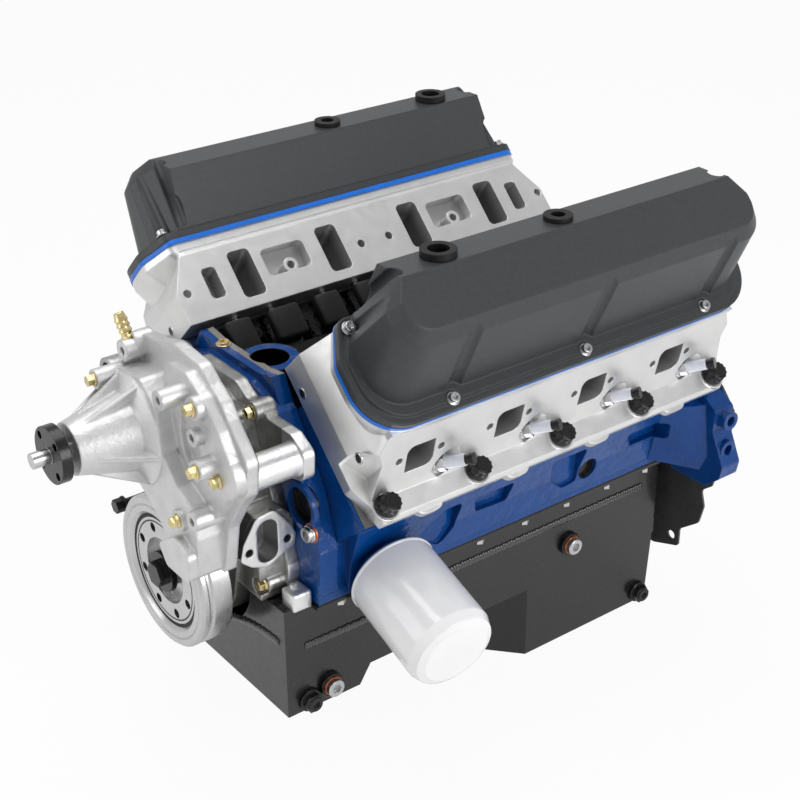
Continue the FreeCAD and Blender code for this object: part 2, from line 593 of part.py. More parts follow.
def head():
    """Head in its bank frame: x = e, y = s, z = v."""
    sec = [(HEAD_I, 0), (HEAD_E, 0), (HEAD_E, LEDGE_V - 4), (HEAD_E - 4, LEDGE_V), (exh_e(LEDGE_V), LEDGE_V),
           (exh_e(78), 78), (exh_e(78), RAIL_V - 1), (HEAD_I + 1.2, RAIL_V - 1), (HEAD_I + 3.5, 81), (HEAD_I, 75)]
    face = face_of([V(e, -HEAD_L, v) for e, v in sec])
    body = face.extrude(V(0, 2 * HEAD_L, 0))
    cuts = []
    for s in (1, -1):
        # ends lean back above the lower third; the exhaust corners are cut away
        cuts.append(prism_x([(s * (HEAD_L + 5), 36), (s * HEAD_L, 36), (s * (HEAD_L - 22), 77), (s * (HEAD_L - 22), 95),
                             (s * (HEAD_L + 5), 95)], -130, 90))
        lc = HEAD_L - 20
        cuts.append(prism_z([(4, s * (HEAD_L + 5)), (26, s * HEAD_L), (48, s * (HEAD_L - 11)), (70, s * (lc + 2)), (90, s * lc),
                             (90, s * (HEAD_L + 5))], -1, LEDGE_V + 10))
        cuts.append(prism_z([(-2, s * (HEAD_L + 5)), (0, s * (HEAD_L - 6)), (22, s * (HEAD_L - 20)), (48, s * (HEAD_L - 12)),
                             (90, s * (HEAD_L - 12)), (90, s * (HEAD_L + 5))], LEDGE_V, 95))
    body = body.cut(cuts)
    low = round_wire(rail_outline(HEAD_L - 14, 44, exh_e(62) - 2, HEAD_I + 6, 20), lambda u, v: V(u, v, 58))
    top = round_wire(rail_outline(COVER_L, 48, 4.5, HEAD_I - 0.8, 20), lambda u, v: V(u, v, 81))
    flare = Part.makeLoft([low, top], True, True)
    rail = round_z(rail_outline(COVER_L, 48, 4.5, HEAD_I - 0.8, 20), 81, RAIL_V)
    bosses = [cyl(15, LEDGE_V + 1.0, V(BOLT_E, s, 0.0)) for s in BOLT_S]
    bosses += [round_z([(HEAD_E - 20, s - 22, 6), (HEAD_E + 5, s - 14, 12), (HEAD_E + 5, s + 14, 12), (HEAD_E - 20, s + 22, 6)],
                       0.0, 9.0) for s in LOBE_S]
    body = fuse([body, flare, rail] + bosses)
    trim = box(HEAD_I - 20, HEAD_I, -300, 300, 0, 80)
    cuts = [trim]
    for s in CYL_S:
        # intake ports, rounded rectangles in the intake face
        w, h = PORT_I_W / 2, PORT_I_H / 2
        sc = s - 4.0
        wire = round_wire([(sc - w, 38 - h, 6), (sc + w, 38 - h, 6), (sc + w, 38 + h, 6), (sc - w, 38 + h, 6)],
                          lambda a, b: V(HEAD_I - 1, a, b))
        cuts.append(Part.Face(wire).extrude(V(52, 0, -8)))
        # exhaust ports: two sharp and two rounded corners
        pw, ph = PORT_E_W / 2, PORT_E_H / 2 / math.hypot(1, EXH_K)
        pc = s - 15.4
        pts = [(pc - pw, EXH_V - 1 - ph, 1.5), (pc + pw, EXH_V - 1 - ph, 9), (pc + pw, EXH_V - 1 + ph, 1.5),
               (pc - pw, EXH_V - 1 + ph, 8)]
        wire = round_wire(pts, lambda a, b: V(exh_e(b) + 3, a, b + 3 * 0.62))
        cuts.append(Part.Face(wire).extrude(V(-40, 0, -40 * 0.62)))
        n = V(1, 0, -EXH_K).normalize()
        for o in (-25.4, 25.4):
            at = V(exh_e(EXH_V + 1), pc + o, EXH_V + 1)
            cuts.append(cyl(4.0, 16, at + n * 2, n * -1))
        # plug well
        p0 = V(exh_e(28), s + 19.8, 28)
        cuts.append(cyl(13, 60, p0 - PLUG_DIR * 12, PLUG_DIR))
        cuts.append(cyl(PLUG_R, 12, p0 - PLUG_DIR * 21, PLUG_DIR))
        # chamber
        cuts.append(cyl(41, 9, V(0, s, -1)))
        for o in LIFTER_S:
            cuts.append(cyl(HOLE_R, 120, V(lifter_axis_e(), s + o, -10)))
    for s in BOLT_S:
        cuts.append(cyl(13, 60, V(BOLT_E, s, LEDGE_V)))
    for s0 in (203.4, -208.8):
        wire = round_wire([(s0 - 8.5, 20, 5), (s0 + 8.5, 20, 5), (s0 + 8.5, 55, 5), (s0 - 8.5, 55, 5)],
                          lambda a, b: V(HEAD_I - 1, a, b))
        cuts.append(Part.Face(wire).extrude(V(26, 0, 0)))
    for s0 in (236.6, -241.6, 16.2, -21.7):
        cuts.append(cyl(4.5, 18, V(HEAD_I - 1, s0, 33.5), X_AXIS))
    body = body.cut(cuts)
    # pockets between the paired ports, each with its bolt boss standing inside
    for s0 in (BORE_PITCH, -BORE_PITCH):
        pocket = round_wire([(s0 - 27, 26.5, 6), (s0 + 27, 26.5, 6), (s0 + 27, 57.5, 6), (s0 - 27, 57.5, 6)],
                            lambda a, b: V(HEAD_I - 1, a, b))
        hollow = Part.Face(pocket).extrude(V(17, 0, 0))
        boss = cyl(8.5, 30, V(HEAD_I, s0 - 2, 33), X_AXIS)
        hollow = hollow.cut(boss)
        hollow = fuse([hollow, cyl(4.5, 16, V(HEAD_I - 1, s0 - 2, 33), X_AXIS)])
        body = body.cut(hollow)
    # well for the rocker gear, open at the rail
    well = round_z([(-18, -COVER_L + 60, 20), (-18, COVER_L - 60, 20), (-92, COVER_L - 60, 10), (-92, -COVER_L + 60, 10)],
                   RAIL_V - 20, RAIL_V + 5)
    body = body.cut(well)
    return max(body.Solids, key=lambda q: q.Volume)


PLUG_R = 7.0
BOLT_E = 53.3
LOBE_S = [-173.2 + BORE_PITCH * k for k in range(4)]
BOLT_S = [(k - 2) * BORE_PITCH + 1.0 for k in range(5)]
PLUG_DIR = V(0.35, 0.55, 0.76).normalize()


def head_gasket():
    s = box(DECK_I - 2, DECK_E, -HEAD_L + 4, HEAD_L - 4, -GASKET_T, 0)
    return s.cut([cyl(BORE_R + 0.8, 4, V(0, q, -2)) for q in CYL_S])


def plug():
    """Shell, insulator and terminal on +Z, seat at the origin."""
    shell = fuse([cyl(PLUG_R - 0.02, 12, V(0, 0, -20)), cyl(10, 3, V(0, 0, -12)), hexagon(16, 9, V(0, 0, -9))])
    ins = Part.makeCone(6.9, 6.2, 21, V(0, 0, 0))
    term = fuse([cyl(5.0, 9, V(0, 0, 21)), cyl(6.2, 4, V(0, 0, 26))])
    return shell, ins, term


def plugs():
    bags = ([], [], [])
    for side in SIDES:
        for s in CYL_S:
            p0 = V(exh_e(28), s + 19.8, 28)
            for item, bag in zip(plug(), bags):
                q = item.copy()
                q.Placement = Placement(p0, Rotation(Z_AXIS, PLUG_DIR))
                bag.append(to_bank(q, side))
    return bags


# ---------------------------------------------------------------- valve cover
V0 = RAIL_V + COVER_GASKET
V1 = V0 + COVER_RAIL
STEP_V = 176.0
FILL_AT = V(-120.7, -152.0, 174.7)
PCV_AT = V(-120.7, -6.0, 174.7)
UP = V(-C45, 0, C45)
COVER_BOLTS = [(-5.5, -158.0), (-5.5, 9.5), (-5.5, 177.0), (-100.0, -229.0), (-100.0, 229.0)]


FLUTE_R = 11.0


def cover_plan(length, r, e_out, shy):
    return [(e_out, -length, r), (e_out, length, r), (-84, length), (-118, length - shy), (-160, length - shy),
            (-160, -length + shy), (-118, -length + shy), (-84, -length)]


def cover():
    rail = round_z(rail_outline(COVER_L, 48, 4.5, -112.0, 18), V0, V1)
    lip = round_z(rail_outline(COVER_L - 7, 44, -3.0, -106.0, 17), V1, V1 + 2.5)
    foot = round_wire(cover_plan(COVER_L - 14, 37, -14, 26), lambda u, v: V(u, v, V1))
    mid = round_wire(cover_plan(COVER_L - 20, 32, -40.7, 26), lambda u, v: V(u, v, STEP_V))
    top = round_wire(cover_plan(COVER_L - 30.5, 25, -52.5, 18), lambda u, v: V(u, v, COVER_TOP))
    tower = fuse([Part.makeLoft([foot, mid], True, True), Part.makeLoft([mid, top], True, True)])
    sec = [(-112, V1 - 1), (10, V1 - 1), (10, COVER_TOP + 1), (-106.6, COVER_TOP + 0.9), (-107.1, COVER_TOP), (-134, 161)]
    tower = tower.common(prism_y(sec, -300, 300))
    # bolt flutes run down the lower wall from the top face's edge to each bolt
    lean = V(-25.7, 0, STEP_V - V1).normalize()
    flutes = []
    for e, s in COVER_BOLTS:
        if e > -50:
            f = cyl(FLUTE_R, 130, V(-8.0, s + 4, V1) - lean * 20, lean)
            flutes.append(f.common(box(-100, 20, s - 30, s + 30, V1 + 2.6, COVER_TOP + 5)))
        else:
            flutes.append(cyl(8.5, 90, V(e, s, V1 + 2.6)))
            flutes.append(cyl(7.0, 90, V(e - 17, s - math.copysign(17, s), V1 + 2.6), V(0, -math.copysign(0.08, s), 1)))
    tower = tower.cut(flutes)
    body = fuse([rail, lip, tower])
    inner_sec = [(-92, V0 - 1), (-26, V0 - 1), (-51, STEP_V - 4), (-60, COVER_TOP - COVER_WALL),
                 (-92, COVER_TOP - COVER_WALL)]
    inner = prism_y(inner_sec, -COVER_L + 40, COVER_L - 40)
    side_sec = [(-106, V0 - 1), (-90, V0 - 1), (-90, COVER_TOP - COVER_WALL), (-105, COVER_TOP - COVER_WALL), (-127, 161), (-107, V1 + 3)]
    side = prism_y(side_sec, -COVER_L + 62, COVER_L - 62)
    cuts = [inner, side]
    for at, r in ((FILL_AT, 14.0), (PCV_AT, 11.0)):
        cuts.append(cyl(r, 40, at - UP * 20, UP))
    for e, s in COVER_BOLTS:
        if e > -50:
            cuts.append(cyl(7.5, 10, V(e, s, V1 + 0.01)))
        else:
            cuts.append(cyl(7.5, 10, V(e, s, V1 + 2.6)))
    body = body.cut(cuts)
    return max(body.Solids, key=lambda q: q.Volume)


def cover_gasket():
    g = round_z(rail_outline(COVER_L + 0.5, 48, 5.0, -112.5, 20), RAIL_V, V0)
    return g.cut(round_z([(-22, -COVER_L + 50, 20), (-22, COVER_L - 50, 20), (-100, COVER_L - 50, 10),
                          (-100, -COVER_L + 50, 10)], RAIL_V - 1, V0 + 1))


def cover_small():
    bolts, grommets = [], []
    for side in SIDES:
        for e, s in COVER_BOLTS:
            top = V1 + 0.01 if e > -50 else V1 + 2.6
            bolts.append(to_bank(fuse([cyl(7.0, 1.6, V(e, s, top)), cyl(5.2, 6.5, V(e, s, top))]), side))
        ringf = ring(17.5, 10.5, 7, FILL_AT + UP * 0.15, UP)
        neck = ring(13.8, 10.5, 8.5, FILL_AT - UP * 8, UP)
        grommets.append(to_bank(fuse([ringf, neck]), side))
        cap = fuse([ring(14.5, 7, 4.5, PCV_AT + UP * 0.15, UP), ring(10.8, 7, 7.5, PCV_AT - UP * 7, UP)])
        grommets.append(to_bank(cap, side))
    return bolts, grommets


# ---------------------------------------------------------------- timing cover and pointer
TC_BACK = FRONT_Y
TC_OUT = [(-112, -2), (112, -2), (116, 30, 8), (104, 70, 20), (88, 110, 20), (84, 150, 20), (92, 186, 8), (80, 206, 8),
          (56, 196, 10), (34, 208, 16), (-34, 208, 16), (-56, 196, 10), (-80, 206, 8), (-92, 186, 8), (-84, 150, 20), (-88, 110, 20),
          (-104, 70, 20), (-116, 30, 8)]
TUBE_R = 17.0
TUBE_AT = (133.0, 166.0)


def timing_cover():
    flange = round_y(TC_OUT, FRONT_Y - 13, FRONT_Y)
    body = hull2(84, (0, 112), 62, (0, 0), FRONT_Y - 44, FRONT_Y)
    base = round_y([(-106, 0), (106, 0), (104, 50), (84, 100), (64, 188, 10), (-64, 188, 10), (-84, 100), (-104, 50)],
                   FRONT_Y - 40, FRONT_Y)
    seal = cyl(44, FRONT_Y - 42 - TC_FRONT_Y, V(0, TC_FRONT_Y, 0), Y_AXIS)
    parts = [flange, body, base, seal]
    x, z = TUBE_AT
    for s in (1, -1):
        # coolant tubes beside the chain case, each on a lug of the flange
        parts.append(cyl(TUBE_R, FRONT_Y - 1 - PUMP_BACK_Y - 3, V(s * x, PUMP_BACK_Y + 3, z), Y_AXIS))
        parts.append(round_y([(s * 80, 138, 6), (s * 120, 140, 8), (s * 150, 148, 10), (s * 152, 178, 10), (s * 130, 190, 8),
                              (s * 80, 190, 4)], FRONT_Y - 13, FRONT_Y - 1))
        # ears of the cover's bolts
        for bx, bz, front in TC_BOLTS:
            parts.append(cyl(10, front, V(s * bx, FRONT_Y - front, bz), Y_AXIS))
    # fuel pump neck and pad
    y0 = FRONT_Y
    neck = prism_x([(y0 - 62, 62), (y0 - 40, 46), (y0 - 1, 54), (y0 - 1, 88), (y0 - 14, 100), (y0 - 44, 100), (y0 - 60, 80)], 60, 110)
    pad = Part.Face(round_wire([(y0 - 66, 60, 6), (y0 - 62, 78, 6), (y0 - 47, 102, 8), (y0 - 26, 105, 8), (y0 - 9, 84, 8),
                                (y0 - 2, 70, 5), (y0 - 4, 58, 5), (y0 - 36, 43, 8), (y0 - 54, 50, 8)],
                               lambda u, v: V(108, u, v))).extrude(V(7, 0, 0))
    out = fuse(parts + [neck, pad])
    low = box(-200, 200, -700, 0, -200, -1.0).cut(cyl(PAN_ARCH_R - 2, 200, V(0, -700, 0), Y_AXIS))
    cavity = hull2(CAM_PR + 8, (0, CAM_Z), CRANK_PR + 16, (0, 0), FRONT_Y - 40, FRONT_Y + 1)
    cuts = [low, cavity, cyl(HUB_R + 0.5 + RUN, 200, V(0, -660, 0), Y_AXIS)]
    oval = Part.Face(round_wire([(y0 - 47, 49, 11.5), (y0 - 23, 49, 11.5), (y0 - 23, 97, 11.5), (y0 - 47, 97, 11.5)],
                                lambda u, v: V(88, u, v)))
    cuts.append(oval.extrude(V(40, 0, 0)))
    for y in (y0 - 56, y0 - 12):
        cuts.append(cyl(4.5, 40, V(120, y, 67), V(-1, 0, 0)))
    for s in (1, -1):
        cuts.append(cyl(TUBE_R - 5, 80, V(s * x, PUMP_BACK_Y + 2, z), Y_AXIS))
        cuts.append(cyl(26, 5, V(s * 126, FRONT_Y - 4.5, 106), Y_AXIS))
        for bx, bz, front in TC_BOLTS:
            cuts.append(cyl(9.5, 40, V(s * bx, FRONT_Y - front, bz), V(0, -1, 0)))
    out = out.cut(cuts)
    return max(out.Solids, key=lambda q: q.Volume)


TC_BOLTS = [(77, 195, 22), (100, 14, 32)]


def timing_cover_bolts():
    """Flanged bolts on the chain case's ears, and the square boss's cap beside the lower one."""
    out = []
    for s in (1, -1):
        for x, z, front in TC_BOLTS:
            out.append(fuse([cyl(8, 2, V(s * x, FRONT_Y - front, z), V(0, -1, 0)),
                             hexagon(10, 8, V(s * x, FRONT_Y - front, z), V(0, -1, 0))]))
    return out


def seal_ring():
    return ring(HUB_R + 0.5 + RUN, HUB_R + RUN, 10, V(0, TC_FRONT_Y + 1, 0), Y_AXIS)


# ---------------------------------------------------------------- water pump
def water_pump():
    y1 = PUMP_BACK_Y
    outline = [(66, 54, 5), (112, 53, 6), (124, 110, 10), (140, 136, 10), (160, 162, 12), (164, 196, 12), (150, 212, 8), (134, 229, 8),
               (124, 243, 8), (106, 255, 8), (90, 268, 10), (42, 272, 10), (14, 264, 8), (-14, 260, 10), (-38, 252, 10), (-54, 226, 10),
               (-58, 190, 10), (-58, 150, 12), (-30, 120, 10), (6, 112, 10), (37, 92, 8)]
    plate = round_y(outline, y1 - 12, y1)
    step = round_y([(40, 225, 8), (44, 258, 10), (84, 262, 10), (114, 244, 10), (136, 222, 10), (154, 196, 12), (152, 168, 12),
                    (134, 140, 14), (110, 110, 10), (70, 140, 10)], y1 - 24, y1)
    front = round_y([(-20, 122, 6), (6, 112, 6), (37, 92, 8), (66, 54, 6), (108, 53, 8), (112, 100, 10), (106, 133, 8), (80, 145, 10),
                     (54, 173, 12), (52, 214, 12), (24, 236, 10), (-20, 232, 6)], y1 - 40, y1)
    toe = round_y([(52, 73, 5), (66, 54, 6), (108, 53, 8), (110, 84, 8), (84, 96, 8)], y1 - 50, y1)
    volute = cyl(58, 42, V(0, y1 - 42, PUMP_Z), Y_AXIS)
    shoulder = Part.makeCone(58, 41, 8, V(0, y1 - 42, PUMP_Z), V(0, -1, 0))
    snout = Part.makeCone(41, 26.5, 59, V(0, y1 - 50, PUMP_Z), V(0, -1, 0))
    ribs = []
    for a in SNOUT_RIBS:
        rib = face_of([V(0, y1 - 38, 20), V(0, y1 - 38, 60), V(0, y1 - 46, 55), V(0, y1 - 96, 29), V(0, y1 - 96, 20)])
        rib = rib.extrude(V(5, 0, 0))
        rib.translate(V(-2.5, 0, 0))
        rib.rotate(V(0, 0, 0), Y_AXIS, a)
        rib.translate(V(0, 0, PUMP_Z))
        ribs.append(rib)
    bosses = [cyl(r, front, V(x, y1 - front, z), Y_AXIS) for x, z, front, r in PUMP_BOSSES]
    lug = cyl(24, 24, V(TUBE_AT[0] + 5, y1 - 24, TUBE_AT[1] + 12), Y_AXIS)
    out = fuse([plate, step, front, toe, volute, shoulder, snout, lug] + ribs + bosses)
    panel = round_y([(66, 196, 6), (70, 216, 6), (98, 196, 6), (106, 162, 6), (86, 154, 6), (70, 172, 6)], y1 - 60, y1 - 17)
    cuts = [cyl(PUMP_SHAFT_R + RUN, 200, V(0, y1 - 200, PUMP_Z), Y_AXIS), panel,
            cyl(52, 22, V(0, y1 - 20, PUMP_Z), Y_AXIS),
            cyl(9, 60, BARB_AT, BARB_DIR)]
    cuts += [cyl(8, 40, V(x, y1 - front, z), V(0, -1, 0)) for x, z, front in PUMP_PLUGS]
    cuts += [cyl(4.2, 12, V(x, y1 - front - 1, z), Y_AXIS) for x, z, front in PUMP_HOLES]
    out = out.cut(cuts)
    return max(out.Solids, key=lambda q: q.Volume)


SNOUT_RIBS = (-75, -45, -15, 20, 100, 150, 230)
PUMP_HOLES = ((-23, 245, 32), (79, 240, 52), (111, 123, 44), (104, 206, 34))
PUMP_BOSSES = ((-23, 245, 32, 11), (79, 240, 52, 10), (111, 123, 44, 10), (104, 206, 34, 9), (-28, 222, 62, 10), (105, 236, 32, 12),
               (122, 182, 42, 11), (131, 169, 24, 13), (83, 111, 44, 11), (-24, 249, 20, 12))


def pump_backplate():
    """Sheet plate that closes the pump's back."""
    out = round_y([(67, 58, 5), (108, 57, 6), (120, 112, 10), (136, 138, 10), (156, 164, 12), (160, 194, 12), (130, 225, 8),
                   (100, 254, 8), (44, 266, 10), (-12, 256, 10), (-36, 248, 10), (-52, 224, 10), (-56, 190, 10), (-56, 150, 12),
                   (-28, 124, 10), (8, 116, 10), (40, 95, 8)], PUMP_BACK_Y, PUMP_BACK_Y + 3)
    return out


def pump_turning():
    y1 = PUMP_BACK_Y
    pilot = cyl(PUMP_PILOT_R, 17, V(0, PUMP_HUB_Y - 18, PUMP_Z), Y_AXIS)
    neck = cyl(PUMP_PILOT_R - 0.6, 3, V(0, PUMP_HUB_Y - 2, PUMP_Z), Y_AXIS)
    shaft = fuse([pilot, neck, cyl(PUMP_SHAFT_R, y1 - 8 - PUMP_HUB_Y, V(0, PUMP_HUB_Y, PUMP_Z), Y_AXIS)])
    hub = fuse([cyl(PUMP_HUB_R, PUMP_HUB_T, V(0, PUMP_HUB_Y, PUMP_Z), Y_AXIS), cyl(14, 17, V(0, PUMP_HUB_Y, PUMP_Z), Y_AXIS)])
    cuts = [cyl(PUMP_SHAFT_R, 60, V(0, PUMP_HUB_Y - 10, PUMP_Z), Y_AXIS)]
    for k in range(4):
        a = math.radians(45 + 90 * k)
        cuts.append(cyl(4.2, 30, V(22.25 * math.cos(a), PUMP_HUB_Y - 5, PUMP_Z + 22.25 * math.sin(a)), Y_AXIS))
    hub = hub.cut(cuts)
    imp = fuse([cyl(46, 3, V(0, y1 - 10, PUMP_Z), Y_AXIS), cyl(14, 10, V(0, y1 - 17, PUMP_Z), Y_AXIS)] +
               [impeller_blade(k) for k in range(6)])
    imp = imp.cut(cyl(PUMP_SHAFT_R, 60, V(0, y1 - 40, PUMP_Z), Y_AXIS))
    return shaft, hub, imp


def impeller_blade(k):
    b = box(-1.5, 1.5, PUMP_BACK_Y - 18, PUMP_BACK_Y - 8, 12, 45)
    b.rotate(V(0, 0, 0), Y_AXIS, 60 * k)
    b.translate(V(0, 0, PUMP_Z))
    return b


# ---------------------------------------------------------------- damper
def damper():
    y0 = DAMPER_FACE_Y
    hub = fuse([cyl(58, 14, V(0, y0 + 14, 0), Y_AXIS), cyl(58, DAMPER_W - 8, V(0, y0 + 4, 0), Y_AXIS),
                cyl(HUB_R, CHAIN_Y - CHAIN_W / 2 + 1 - y0 - 30, V(0, y0 + 30, 0), Y_AXIS)])
    cuts = [cyl(36, 12, V(0, y0 + 2, 0), Y_AXIS), cyl(SNOUT_R, 200, V(0, y0 - 10, 0), Y_AXIS)]
    for k in range(8):
        a = math.radians(22.5 + 45 * k)
        cuts.append(cyl(5.2, 60, V(47 * math.cos(a), y0 - 2, 47 * math.sin(a)), Y_AXIS))
    hub = hub.cut(cuts)
    rub = ring(62, 58, DAMPER_W - 8, V(0, y0 + 4, 0), Y_AXIS)
    out = ring(DAMPER_R, 62, DAMPER_W, V(0, y0, 0), Y_AXIS)
    bolt_ = fuse([cyl(22, 6, V(0, y0 + 0, 0), Y_AXIS), hexagon(24, 9, V(0, y0, 0), V(0, -1, 0))])
    return hub, rub, out, bolt_


# ---------------------------------------------------------------- oil pan
def pan_body(t):
    """Pan volume, inset by t from the outer skin."""
    z0 = 0.0
    x = PAN_X - t
    tray = prism_x([(PAN_FRONT_Y + t, z0), (PAN_FRONT_Y + t, PAN_NOSE_Z + t), (-461 - t, PAN_NOSE_Z + t), (-447 - t, PAN_TRAY_Z + t),
                    (PAN_REAR_Y - 2 - t, PAN_TRAY_Z + t), (PAN_REAR_Y - t, PAN_TRAY_Z + 40), (PAN_REAR_Y - t, z0)], -x, x)
    sump = prism_z([(-98 + t, -262 + t), (98 - t, -262 + t), (x, -229 + t), (x, PAN_REAR_Y - t), (-x, PAN_REAR_Y - t), (-x, -229 + t)],
                   PAN_SUMP_Z + t, PAN_TRAY_Z + 20)
    slope = prism_x([(PAN_REAR_Y - 8 - t, PAN_SUMP_Z + t), (PAN_REAR_Y - 2 - t, PAN_TRAY_Z + t), (PAN_REAR_Y + 30, PAN_TRAY_Z + t),
                     (PAN_REAR_Y + 30, PAN_SUMP_Z - 10), (PAN_REAR_Y - 8 - t, PAN_SUMP_Z - 10)], -200, 200)
    sump = sump.cut(slope)
    return fuse([tray, sump])


def pan():
    zr = -PAN_GASKET
    rail = box(-RAIL_X, RAIL_X, FRONT_Y - 2, -36, zr - PAN_RAIL_T, zr)
    apron = box(-PAN_X, PAN_X, PAN_FRONT_Y, FRONT_Y, zr - PAN_RAIL_T, zr)
    outer = fuse([pan_body(0).common(box(-300, 300, -700, 100, -400, zr)), rail, apron])
    inner = pan_body(PAN_WALL)
    arch = [cyl(PAN_ARCH_R, 60, V(0, -570, 0), Y_AXIS), cyl(PAN_ARCH_R, 60, V(0, -60, 0), Y_AXIS)]
    out = outer.cut([inner] + arch)
    return max(out.Solids, key=lambda q: q.Volume)


def pan_gasket():
    g = box(-RAIL_X, RAIL_X, FRONT_Y, -36, -PAN_GASKET, 0)
    g = g.cut([box(-126, 126, FRONT_Y + 14, -48, -5, 5), cyl(PAN_ARCH_R, 700, V(0, -620, 0), Y_AXIS)])
    return g.Solids


PAN_BOLT_Y = [-488, -428, -367.5, -307, -244, -183, -122, -62]
PAN_PLUGS = [(V(PAN_X, -499, -112), 11), (V(PAN_X, -525, -120), 10), (V(PAN_X, -169, -71), 11), (V(PAN_X, -52, -186), 10)]


def pan_bolts():
    out = []
    for y in PAN_BOLT_Y:
        for s in (1, -1):
            out.append(hexagon(10, 6, V(s * 141.6, y, -PAN_GASKET - PAN_RAIL_T), V(0, 0, -1)))
    return out


def pan_plugs():
    out = []
    for at, r in PAN_PLUGS:
        out.append(fuse([cyl(r + 3, 4, at, X_AXIS), hexagon(2 * r - 4, 13, at, X_AXIS)]))
    return out


# ---------------------------------------------------------------- rear plate, filter, small pieces
PLATE = [(112, 168), (150, 130), (192, 96), (212, 73, 6), (209, 38, 10), (224, 18, 6), (222, 1, 5), (203, -17, 3), (195, -18, 3),
         (191, -33, 3), (176, -45, 8), (182, -65, 8), (176, -90, 10), (148, -112, 8), (148, -136, 5), (109, -150, 6)]


def block_plate():
    plate = PLATE + [(-q[0],) + q[1:] for q in reversed(PLATE)]
    p = round_y(plate, 0.0, PLATE_T)
    return p.cut([cyl(66, 10, V(0, -4, 0), Y_AXIS)] + [cyl(5.5, 10, V(s * 136, -4, -126), Y_AXIS) for s in (1, -1)])


def oil_filter():
    d = FILTER_DIR
    at = FILTER_AT + d * 0.5
    prof = [(0, 0), (FILTER_R - 6, 0), (FILTER_R - 5, 3), (FILTER_R, 5), (FILTER_R, FILTER_L - 14), (FILTER_R - 4, FILTER_L - 4),
            (FILTER_R - 12, FILTER_L), (0, FILTER_L)]
    w = Part.makePolygon([V(r, 0, z) for r, z in prof] + [V(0, 0, 0)])
    s = Part.Face(w).revolve(V(0, 0, 0), Z_AXIS, 360)
    s.Placement = Placement(at, Rotation(Z_AXIS, d))
    return s


def lifter_retainer():
    """Guide plates that keep each cylinder's two lifters square, standing on the valley floor."""
    out = []
    e = lifter_axis_e()
    a, b = LIFTER_S
    for side in SIDES:
        for k in range(4):
            s = cylinder_s(side, k)
            g = round_z([(e - 16, s + a - 15, 6), (e + 14, s + a - 15, 6), (e + 14, s + b + 15, 6), (e - 16, s + b + 15, 6)],
                        VALLEY_V, VALLEY_V + 9)
            g = g.cut([cyl(LIFTER_R + RUN, 30, V(e, s + o, VALLEY_V - 5)) for o in LIFTER_S])
            out.append(to_bank(g, side))
    return out


def block_plugs():
    """Pipe plugs low in the block's front face, each on a sealing washer."""
    out = []
    for s in (1, -1):
        at = V(s * 141, FRONT_Y, 82)
        out.append(fuse([cyl(11, 2, at, V(0, -1, 0)), hexagon(14, 9, at, V(0, -1, 0))]))
    return out


def core_plugs():
    """Pressed cups that close the sand-core holes: front face and both sides."""
    out = []
    for s, turn in ((1, 0), (-1, 1)):
        out.append(fuse([ring(20, 17.5, 6, V(s * 126, FRONT_Y + 1, 106), Y_AXIS), cyl(20, 2, V(s * 126, FRONT_Y + 5, 106), Y_AXIS)]))
        for y in CORE_Y:
            at = V(s * 143, 2 * MID_Y * turn + (1 - 2 * turn) * y, 32)
            out.append(fuse([cyl(13, 2, at, V(s, 0, 0)), ring(13, 11.5, 5, at, V(s, 0, 0))]))
    return out


BARB_DIR = V(-0.62, -0.3, 0.72).normalize()
BARB_AT = V(-28, PUMP_BACK_Y - 18, 250)
PUMP_PLUGS = ((-28, 222, 62), (105, 236, 32), (122, 182, 42), (131, 169, 24), (83, 111, 44))


def pump_fittings():
    """Hose barb and pipe plugs of the pump."""
    y1 = PUMP_BACK_Y
    d, at = BARB_DIR, BARB_AT
    barb = fuse([hexagon(15, 8, at, d), cyl(5, 30, at, d), Part.makeCone(6.5, 4.8, 6, at + d * 12, d),
                 Part.makeCone(6.5, 4.8, 6, at + d * 20, d)]).cut(cyl(2.5, 40, at, d))
    out = [barb]
    for x, z, front in PUMP_PLUGS:
        at = V(x, y1 - front, z)
        out.append(fuse([cyl(7, 2, at, V(0, -1, 0)), hexagon(10, 8, at, V(0, -1, 0))]))
    return out


def timing_pointer():
    """Pointer beside the damper, on a foot that stands on the chain case."""
    y0 = FRONT_Y - 44
    blade = prism_y([(-96, 96), (-72, 108), (-62, 92), (-64, 76), (-80, 78)], y0 - 34, y0 - 31)
    foot = box(-77, -71, y0 - 31, y0, 84, 94)
    return fuse([blade, foot])


def bracket_bolt():
    """Long stud and nut for an accessory bracket, low on the right of the front face."""
    at = V(-122, FRONT_Y, 13)
    return fuse([cyl(5, 78, at, V(0, -1, 0)), hexagon(14, 10, at + V(0, -70, 0), V(0, -1, 0)), cyl(9, 2, at + V(0, -68, 0), V(0, -1, 0))])


